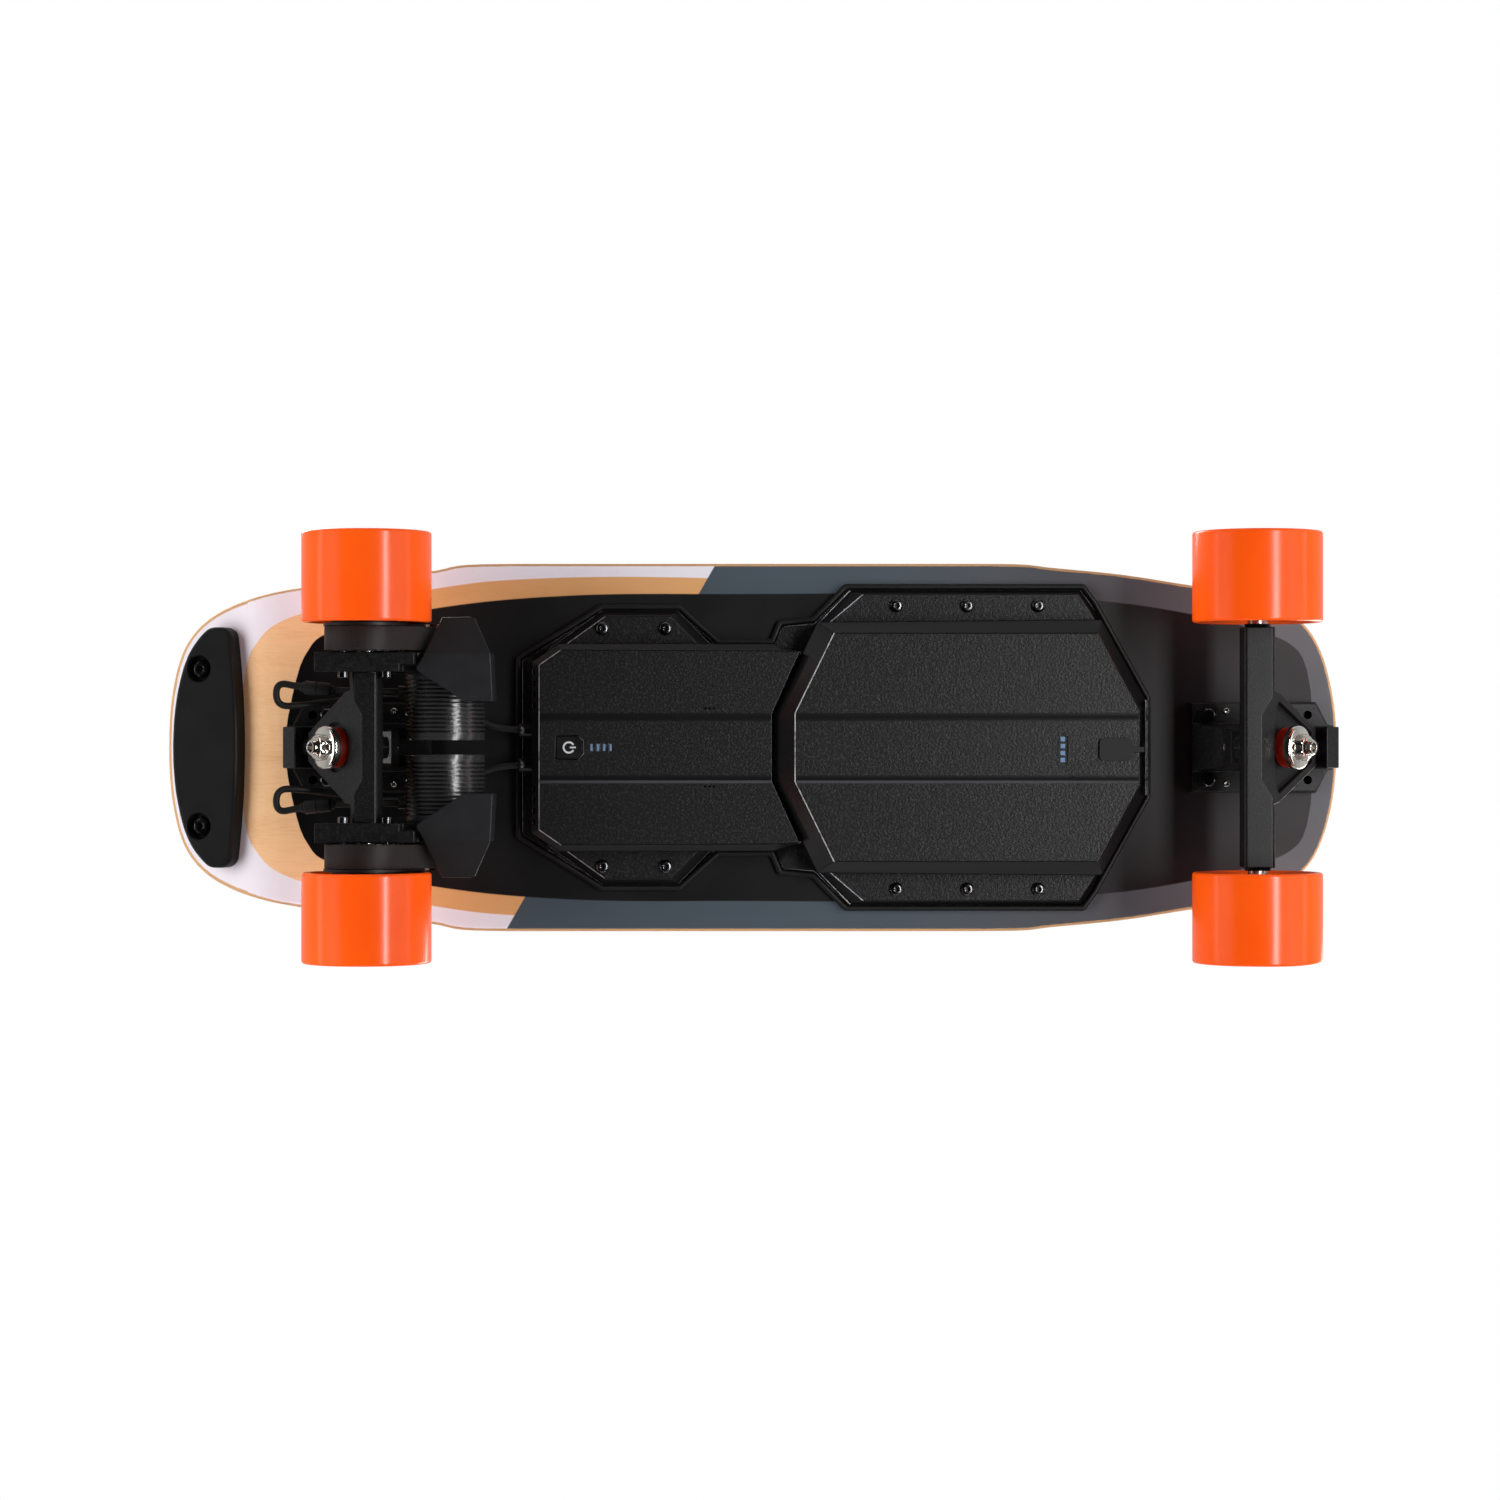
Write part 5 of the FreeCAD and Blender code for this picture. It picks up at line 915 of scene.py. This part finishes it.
def bumper_rim(work):
    """The bumper's top, sides and rounded rim. The result is the edges of its lower face."""
    outline = bumper_outline()
    levels = [(0, 0)]
    for step in range(ROUND_STEPS + 1):
        turn = math.radians(90 * step / ROUND_STEPS)
        levels.append((BUMPER_ROUND * (1 - math.cos(turn)),
                       BUMPER_ROUND * (1 - math.sin(turn)) - BUMPER_THICK))
    rings = []
    for inset, height in levels:
        rings.append([work.verts.new(TAIL @ Vector((point.x, point.y, height * MM)))
                      for point in moved_in(outline, inset * MM)])
    bridge(work, rings)
    work.faces.new(rings[0])
    last = rings[-1]
    return [work.edges.get((point, after)) for point, after in zip(last, last[1:] + last[:1])]


def bumper_pocket(work, sign):
    """A round pocket with a soft edge. The result is the edges of its mouth."""
    before = set(work.edges)
    rings = arc(POCKET_ROUND - BUMPER_THICK, POCKET_RADIUS + POCKET_ROUND, POCKET_ROUND,
                180, 270, steps=4)
    rings += [(POCKET_FLOOR, POCKET_RADIUS), (POCKET_FLOOR, 0)]
    place = Matrix.Translation(pocket(sign)) @ Matrix.Rotation(TAIL_TURN, 4, "Y")
    lathe(work, rings, place, steps=48)
    return [edge for edge in work.edges
            if edge not in before
            and all(abs((TAIL_BACK @ vert.co).z + BUMPER_THICK * MM) < WELD
                    for vert in edge.verts)]


def tail_bumper():
    """The rubber block under the tail, with a rounded rim and two round pockets."""
    work = bmesh.new()
    edges = bumper_rim(work)
    for _, sign in SIDES:
        edges += bumper_pocket(work, sign)
    bmesh.ops.triangle_fill(work, use_beauty=True, use_dissolve=False, edges=edges)
    shade_evenly(made("tail_bumper_finished", work, RUBBER, "board",
                      ["tail_bumper"]))


def bumper_bolts():
    """The two hexagonal bolts in the pockets of the tail bumper."""
    work = bmesh.new()
    for _, sign in SIDES:
        place = frame_at(pocket(sign), TAIL.col[2].xyz)
        lathe(work, BUMPER_BOLT, place, steps=48)
    made("bumper_bolt_pair", work, BLACK_STEEL, "board", ["bumper_bolts"])


# ---- trucks ------------------------------------------------------------------------------

# Along the axle and the kingpin, and radii, in millimetres.
AXLE_END = ((-128, 0), (-128, 3.4), (-127.4, 4), (127.4, 4), (128, 3.4), (128, 0))
AXLE_BORE = 4.05
SLEEVE_START = {"front": 76, "rear": 58.8}
SLEEVE_END = 120
AXLE_NUT = (120.2, 126, 6.5)
KINGPIN_NUT = (17, 22.6, 7.15)
KINGPIN_BORE = 4.8
NUT_COLLAR = ((22.6, 4.8), (22.6, 6.3), (23.4, 6.1), (24, 5.6), (24, 4.8))
PIN_RADIUS = 4.75
THREAD_RADIUS = 4.4
THREAD_START = 15
THREAD_PITCH = 0.92
THREAD_TURNS = 12
PIN_TIP = ((26.1, 4.4), (26.5, 4), (26.5, 3.3), (26.3, 2.9, HEX), (21.5, 2.9, HEX), (21.2, 0))
CUP = ((0, 4.8), (0, 12.4), (0.35, 13.1), (1.1, 13.5), (4.5, 13.5), (4.5, 12.75), (1.9, 12.7),
       (1.5, 12.2), (1.5, 4.8))
CUP_BACKS = ((-18, 1), (17, -1))
BUSHINGS = (("upper", -4.8, -16.5), ("lower", 4.8, 15.5))
BUSHING_BORES = (6.8, 5)
BUSHING_FACE = 11.2
BUSHING_RADIUS = 12
BUSHING_CORNER = 0.5
BULGE_BASE = 12.1
BULGE = 0.45
BULGE_STEPS = 12


def axle_set(end):
    """An axle with chamfered ends, its race sleeves and its lock nuts."""
    work = bmesh.new()
    start = SLEEVE_START[end]
    sleeve = [(start, AXLE_BORE), (start, 6), (SLEEVE_END - 0.2, 6), (SLEEVE_END, 5.8),
              (SLEEVE_END, AXLE_BORE)]
    lathe(work, AXLE_END, wheel_frame(end, 1))
    for _, sign in SIDES:
        place = wheel_frame(end, sign)
        lathe(work, sleeve, place, closed=True)
        lathe(work, nut_rings(*AXLE_NUT, AXLE_BORE), place, closed=True)
    made(f"{end}_axle_set", work, STEEL, f"{end}_truck", [f"{end}_axle"])


def kingpin_rings():
    """A kingpin from its head to its tip, with a thread and a hexagonal socket."""
    rings = [(-36, 0), (-36, PIN_RADIUS), (THREAD_START, PIN_RADIUS)]
    for number in range(THREAD_TURNS):
        start = THREAD_START + number * THREAD_PITCH
        rings += [(start, THREAD_RADIUS), (start + THREAD_PITCH / 2, PIN_RADIUS)]
    return rings + list(PIN_TIP)


def kingpin_group():
    """Kingpins with threaded hollow ends, their nuts and their cup washers."""
    pins, nuts, washers = bmesh.new(), bmesh.new(), bmesh.new()
    for end in ENDS:
        place = kingpin(end)
        lathe(pins, kingpin_rings(), place, steps=48)
        lathe(nuts, nut_rings(*KINGPIN_NUT, KINGPIN_BORE), place, closed=True)
        lathe(nuts, NUT_COLLAR, place, closed=True)
        for back, face in CUP_BACKS:
            lathe(washers, [(back + face * distance, radius) for distance, radius in CUP], place,
                  closed=True)
    made("kingpin_pair", pins, NICKEL, "board", ["kingpins"])
    made("kingpin_nut_pair", nuts, NICKEL, "board", ["kingpin_nuts"])
    made("cup_washer_set", washers, NICKEL, "board", ["cup_washers"])


def bushing_rings(near, far):
    """A bushing from the hanger's ring to its washer, bulging a little between them."""
    corner = math.copysign(BUSHING_CORNER, far)
    start, end = near + corner, far - corner
    rings = [(near, BUSHING_BORES[0]), (near, BUSHING_FACE), (start, BUSHING_RADIUS)]
    for step in range(1, BULGE_STEPS):
        share = step / BULGE_STEPS
        rings.append((start + (end - start) * share,
                      BULGE_BASE + BULGE * math.sin(math.pi * share)))
    return rings + [(end, BUSHING_RADIUS), (far, BUSHING_FACE), (far, BUSHING_BORES[1])]


def bushings(end):
    """Two cast bushings along the kingpin."""
    place = kingpin(end)
    for name, near, far in BUSHINGS:
        work = bmesh.new()
        lathe(work, bushing_rings(near, far), place, closed=True)
        piece = made(f"{end}_{name}_bushing", work, RED, None,
                     [f"{end}_bushings"])
        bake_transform(piece)


# ---- motor cables ------------------------------------------------------------------------

# Points of the right cable in the rear truck's frame, from the cover to the motor.
CABLE = ((-101, 11, 101), (-80, 11, 101), (-64, 17, 101), (-36, 30, 100.5), (-4, 31.5, 96),
         (22, 29.5, 84), (46, 26, 75), (60, 26, 73), (60, 41, 72), (46, 38, 71.5),
         (22, 35.5, 70.5), (0, 35, 69), (-17, 35, 69))
CABLE_RADIUS = 2.15

# The plug sits between two of those points; its outline runs along it from its middle.
PLUG_RUN = 9
PLUG_REACH = 6
PLUG_RINGS = ((-11, 2.2), (-10.4, 2.9), (-8.5, 3.1), (-8.2, 4.1), (-7.6, 4.3), (-1.0, 4.3),
              (-0.8, 3.9), (0.0, 3.9), (0.2, 4.3), (7.4, 4.3), (8.0, 4.0), (8.3, 3.2),
              (10.4, 2.9), (11, 2.2))


def cable_line(sign):
    """The cable's smooth line, as points read from its spline."""
    curve = bpy.data.curves.new("cable_route", "CURVE")
    curve.dimensions = "3D"
    spline = curve.splines.new("NURBS")
    spline.points.add(len(CABLE) - 1)
    for point, (out, side, height) in zip(spline.points, CABLE):
        point.co = (AXLE["rear"].x - out * MM, sign * side * MM, height * MM, 1)
    spline.order_u = 3
    spline.use_endpoint_u = True
    spline.resolution_u = 24
    holder = bpy.data.objects.new("cable_route", curve)
    bpy.context.scene.collection.objects.link(holder)
    mesh = bpy.data.meshes.new_from_object(holder)
    points = [vertex.co.copy() for vertex in mesh.vertices]
    bpy.data.objects.remove(holder)
    bpy.data.meshes.remove(mesh)
    return points


def tube(work, points, radius, steps=20):
    """A closed-ended round tube along a line."""
    across = (points[1] - points[0]).orthogonal().normalized()
    rings = []
    for index, point in enumerate(points):
        before = points[max(index - 1, 0)]
        after = points[min(index + 1, len(points) - 1)]
        ahead = (after - before).normalized()
        across = (across - ahead * across.dot(ahead)).normalized()
        other = ahead.cross(across)
        rings.append([work.verts.new(point + (across * math.cos(math.tau * step / steps)
                                              + other * math.sin(math.tau * step / steps))
                                     * radius) for step in range(steps)])
    bridge(work, rings)
    work.faces.new(reversed(rings[0]))
    work.faces.new(rings[-1])


def cable(side, sign):
    """A motor cable with its inline plug."""
    points = cable_line(sign)
    work = bmesh.new()
    tube(work, points, CABLE_RADIUS * MM)
    out, away, height = (Vector(CABLE[PLUG_RUN]) + Vector(CABLE[PLUG_RUN + 1])) / 2
    wanted = Vector((AXLE["rear"].x - out * MM, sign * away * MM, height * MM))
    index = min(range(len(points)), key=lambda number: (points[number] - wanted).length)
    ahead = points[index + PLUG_REACH] - points[index - PLUG_REACH]
    lathe(work, PLUG_RINGS, frame_at(points[index], ahead), steps=32)
    name = f"{side}_motor_cable"
    piece = made(f"{name}_run", work, CABLE_SKIN, None, [name])
    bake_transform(piece)


# ---- small marks -------------------------------------------------------------------------

# The power sign in millimetres: its ring, its bar, and how far it stands off the button.
MARK_X = -0.1141
RING_RADII = (2.7, 3.85)
RING_STEPS = 40
RING_GAP = math.radians(30)
BAR = ((0.6, -0.5), (4.4, -0.5), (4.4, 0.5), (0.6, 0.5))
MARK_OUT = 0.03
MARK_THICK = 0.05


def power_mark():
    """A plain ring and bar printed on the power button."""
    work = bmesh.new()
    centre = Vector((MARK_X, 0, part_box("power_button")[0].z - MARK_OUT * MM))
    strip = []
    for step in range(RING_STEPS + 1):
        turn = RING_GAP + (math.tau - 2 * RING_GAP) * step / RING_STEPS
        ray = Vector((math.cos(turn), math.sin(turn), 0))
        strip.append([work.verts.new(centre + ray * radius * MM) for radius in RING_RADII])
    for first, second in zip(strip, strip[1:]):
        work.faces.new((first[0], first[1], second[1], second[0]))
    work.faces.new([work.verts.new(centre + Vector((x * MM, y * MM, 0))) for x, y in BAR])
    thick = bmesh.ops.extrude_face_region(work, geom=work.faces[:])
    for item in thick["geom"]:
        if isinstance(item, bmesh.types.BMVert):
            item.co.z += MARK_THICK * MM
    made("power_mark", work, MARK, "button")


# ---- the pieces --------------------------------------------------------------------------

for end in ENDS:
    for side, sign in SIDES:
        tyre(end, side, sign)
        bearings(end, side, sign)
    bushings(end)
kingpin_group()
cover_screws()
for side, sign in SIDES:
    cable(side, sign)
power_mark()
plate_fasteners()
mount_screws()
tail_bumper()
bumper_bolts()
for end in ENDS:
    axle_set(end)

# CAD nodes to finish with rounded edges: body, slot, width and shortest edge in millimetres.
REFINED = (
    ("board", "black_rubber", 1.6, 1.0, ("cover_gasket",)),
    ("board", "cover", 0.8, 4.2, ("controller_cover", "battery_cover")),
    ("board", "black_cast", 0.8, 3.0, ("front_baseplate", "rear_baseplate")),
    ("front_truck", "black_cast", 0.7, 3.5, ("front_hanger",)),
    ("rear_truck", "black_cast", 0.7, 3.5, ("rear_hanger",)),
    ("rear_truck", "black_cast", 0.7, 4.0, ("left_motor_mount", "right_motor_mount")),
    ("rear_truck", "cover", 0.7, 4.0, ("left_belt_guard", "right_belt_guard")),
    ("button", "button", 0.3, 1.0, ("power_button",)),
)
for body, slot_name, width, shortest, names in REFINED:
    for name in names:
        refined(name, body, width, shortest)

# CAD nodes whose edges a modifier rounds, by the width in millimetres.
SOFTENED = {
    0.25: ("left_motor_housing", "right_motor_housing", "left_belt", "right_belt",
           "charge_port_cover"),
    0.5: ("riser_pads",),
}
for width, names in SOFTENED.items():
    for name in names:
        soften(name, width)


# ---- floor, lights and camera ------------------------------------------------------------

CENTRE = Vector((0, 0, 0.05))
FLOOR_SIZE = 30
FLOOR_SHADES = ((0.80, 0.80, 0.80), (0.84, 0.84, 0.84))

# The sky's strength below and above the object, between two heights of a look direction.
SKY_SPAN = (-0.5, 0.6, 0.01, 0.55)

# Lights that all shine at the centre: place, width, height, power, whether they show in
# reflections and whether they light plain surfaces.
SOFTBOXES = {
    "left_bank": ((-1.9, 0.1, -1.0), 2.4, 1.0, 44, False, True),
    "right_bank": ((1.9, 0.0, -1.0), 2.4, 1.0, 46, False, True),
    "near_bank": ((0.0, -2.2, -1.0), 2.4, 0.8, 12, False, True),
    "far_bank": ((0.0, 2.2, -1.0), 2.4, 0.8, 17, False, True),
    "strip": ((1.0, 0.0, -1.45), 1.7, 0.2, 40, True, False),
    "left_edge": ((-2.2, 0.0, -0.2), 2.4, 0.25, 9, True, True),
    "right_edge": ((2.2, 0.0, -0.2), 2.4, 0.25, 6, True, True),
    "near_edge": ((0.0, -2.4, -0.3), 2.4, 0.25, 6, True, True),
    "far_edge": ((0.0, 2.4, -0.3), 2.4, 0.25, 8, True, True),
    "above_left": ((-1.2, -1.1, 1.9), 1.2, 1.2, 40, True, True),
    "above_right": ((1.4, 1.0, 1.7), 1.2, 1.2, 32, True, True),
}

# Straight below the board; lens and sensor in millimetres.
CAMERA_AT = (0, 0.0016, -2.152)
LENS = 85.3
SENSOR = 36
VIEW_END = 20


def floor():
    """A pale floor that is only there from above, so the view from below looks through it."""
    mesh = bpy.data.meshes.new("floor")
    work = bmesh.new()
    bmesh.ops.create_grid(work, x_segments=2, y_segments=2, size=FLOOR_SIZE)
    work.to_mesh(mesh)
    work.free()
    paint = Paint("floor", roughness=0.9, specular=0.1)
    paint.colour(paint.mix(paint.noise(3), *FLOOR_SHADES))
    tree = paint.tree
    clear = tree.nodes.new("ShaderNodeBsdfTransparent")
    geometry = tree.nodes.new("ShaderNodeNewGeometry")
    choice = tree.nodes.new("ShaderNodeMixShader")
    paint.join(geometry.outputs["Backfacing"], choice.inputs[0])
    paint.join(paint.shader.outputs[0], choice.inputs[1])
    paint.join(clear.outputs[0], choice.inputs[2])
    paint.join(choice.outputs[0], tree.nodes["Material Output"].inputs["Surface"])
    mesh.materials.append(paint.material)
    ground = bpy.data.objects.new("floor", mesh)
    bpy.context.scene.collection.objects.link(ground)
    ground.visible_shadow = False
    ground.visible_diffuse = False
    ground.visible_glossy = False
    ground.visible_transmission = False


def world_light():
    """White behind the object; on the object, light from above and dark below."""
    world = bpy.data.worlds.new("studio")
    world.use_nodes = True
    tree = world.node_tree
    background = tree.nodes["Background"]
    background.inputs["Color"].default_value = (1, 1, 1, 1)
    place = tree.nodes.new("ShaderNodeTexCoord")
    split = tree.nodes.new("ShaderNodeSeparateXYZ")
    tree.links.new(place.outputs["Generated"], split.inputs[0])
    height = tree.nodes.new("ShaderNodeMapRange")
    height.interpolation_type = "SMOOTHSTEP"
    for value, socket in zip(SKY_SPAN, list(height.inputs)[1:5]):
        socket.default_value = value
    tree.links.new(split.outputs[2], height.inputs[0])
    path = tree.nodes.new("ShaderNodeLightPath")
    amount = tree.nodes.new("ShaderNodeMix")
    amount.inputs["B"].default_value = 1.0
    tree.links.new(path.outputs["Is Camera Ray"], amount.inputs["Factor"])
    tree.links.new(height.outputs[0], amount.inputs["A"])
    tree.links.new(amount.outputs["Result"], background.inputs["Strength"])
    bpy.context.scene.world = world


def softbox(name, place, width, height, power, seen, lights):
    """An area light that shines from a place to the centre."""
    data = bpy.data.lights.new(name, "AREA")
    data.shape = "RECTANGLE"
    data.size = width
    data.size_y = height
    data.energy = power
    lamp = bpy.data.objects.new(name, data)
    lamp.location = place
    lamp.rotation_euler = (CENTRE - Vector(place)).to_track_quat("-Z", "Y").to_euler()
    lamp.visible_camera = False
    lamp.visible_glossy = seen
    lamp.visible_diffuse = lights
    bpy.context.scene.collection.objects.link(lamp)


def camera():
    """Straight up at the underside, centred on the board."""
    data = bpy.data.cameras.new("camera")
    data.lens = LENS
    data.sensor_width = SENSOR
    data.clip_end = VIEW_END
    view = bpy.data.objects.new("camera", data)
    view.location = CAMERA_AT
    view.rotation_euler = (math.pi, 0, 0)
    bpy.context.scene.collection.objects.link(view)
    bpy.context.scene.camera = view


floor()
world_light()
for name, settings in SOFTBOXES.items():
    softbox(name, *settings)
camera()
bpy.context.scene.view_settings.view_transform = "Standard"
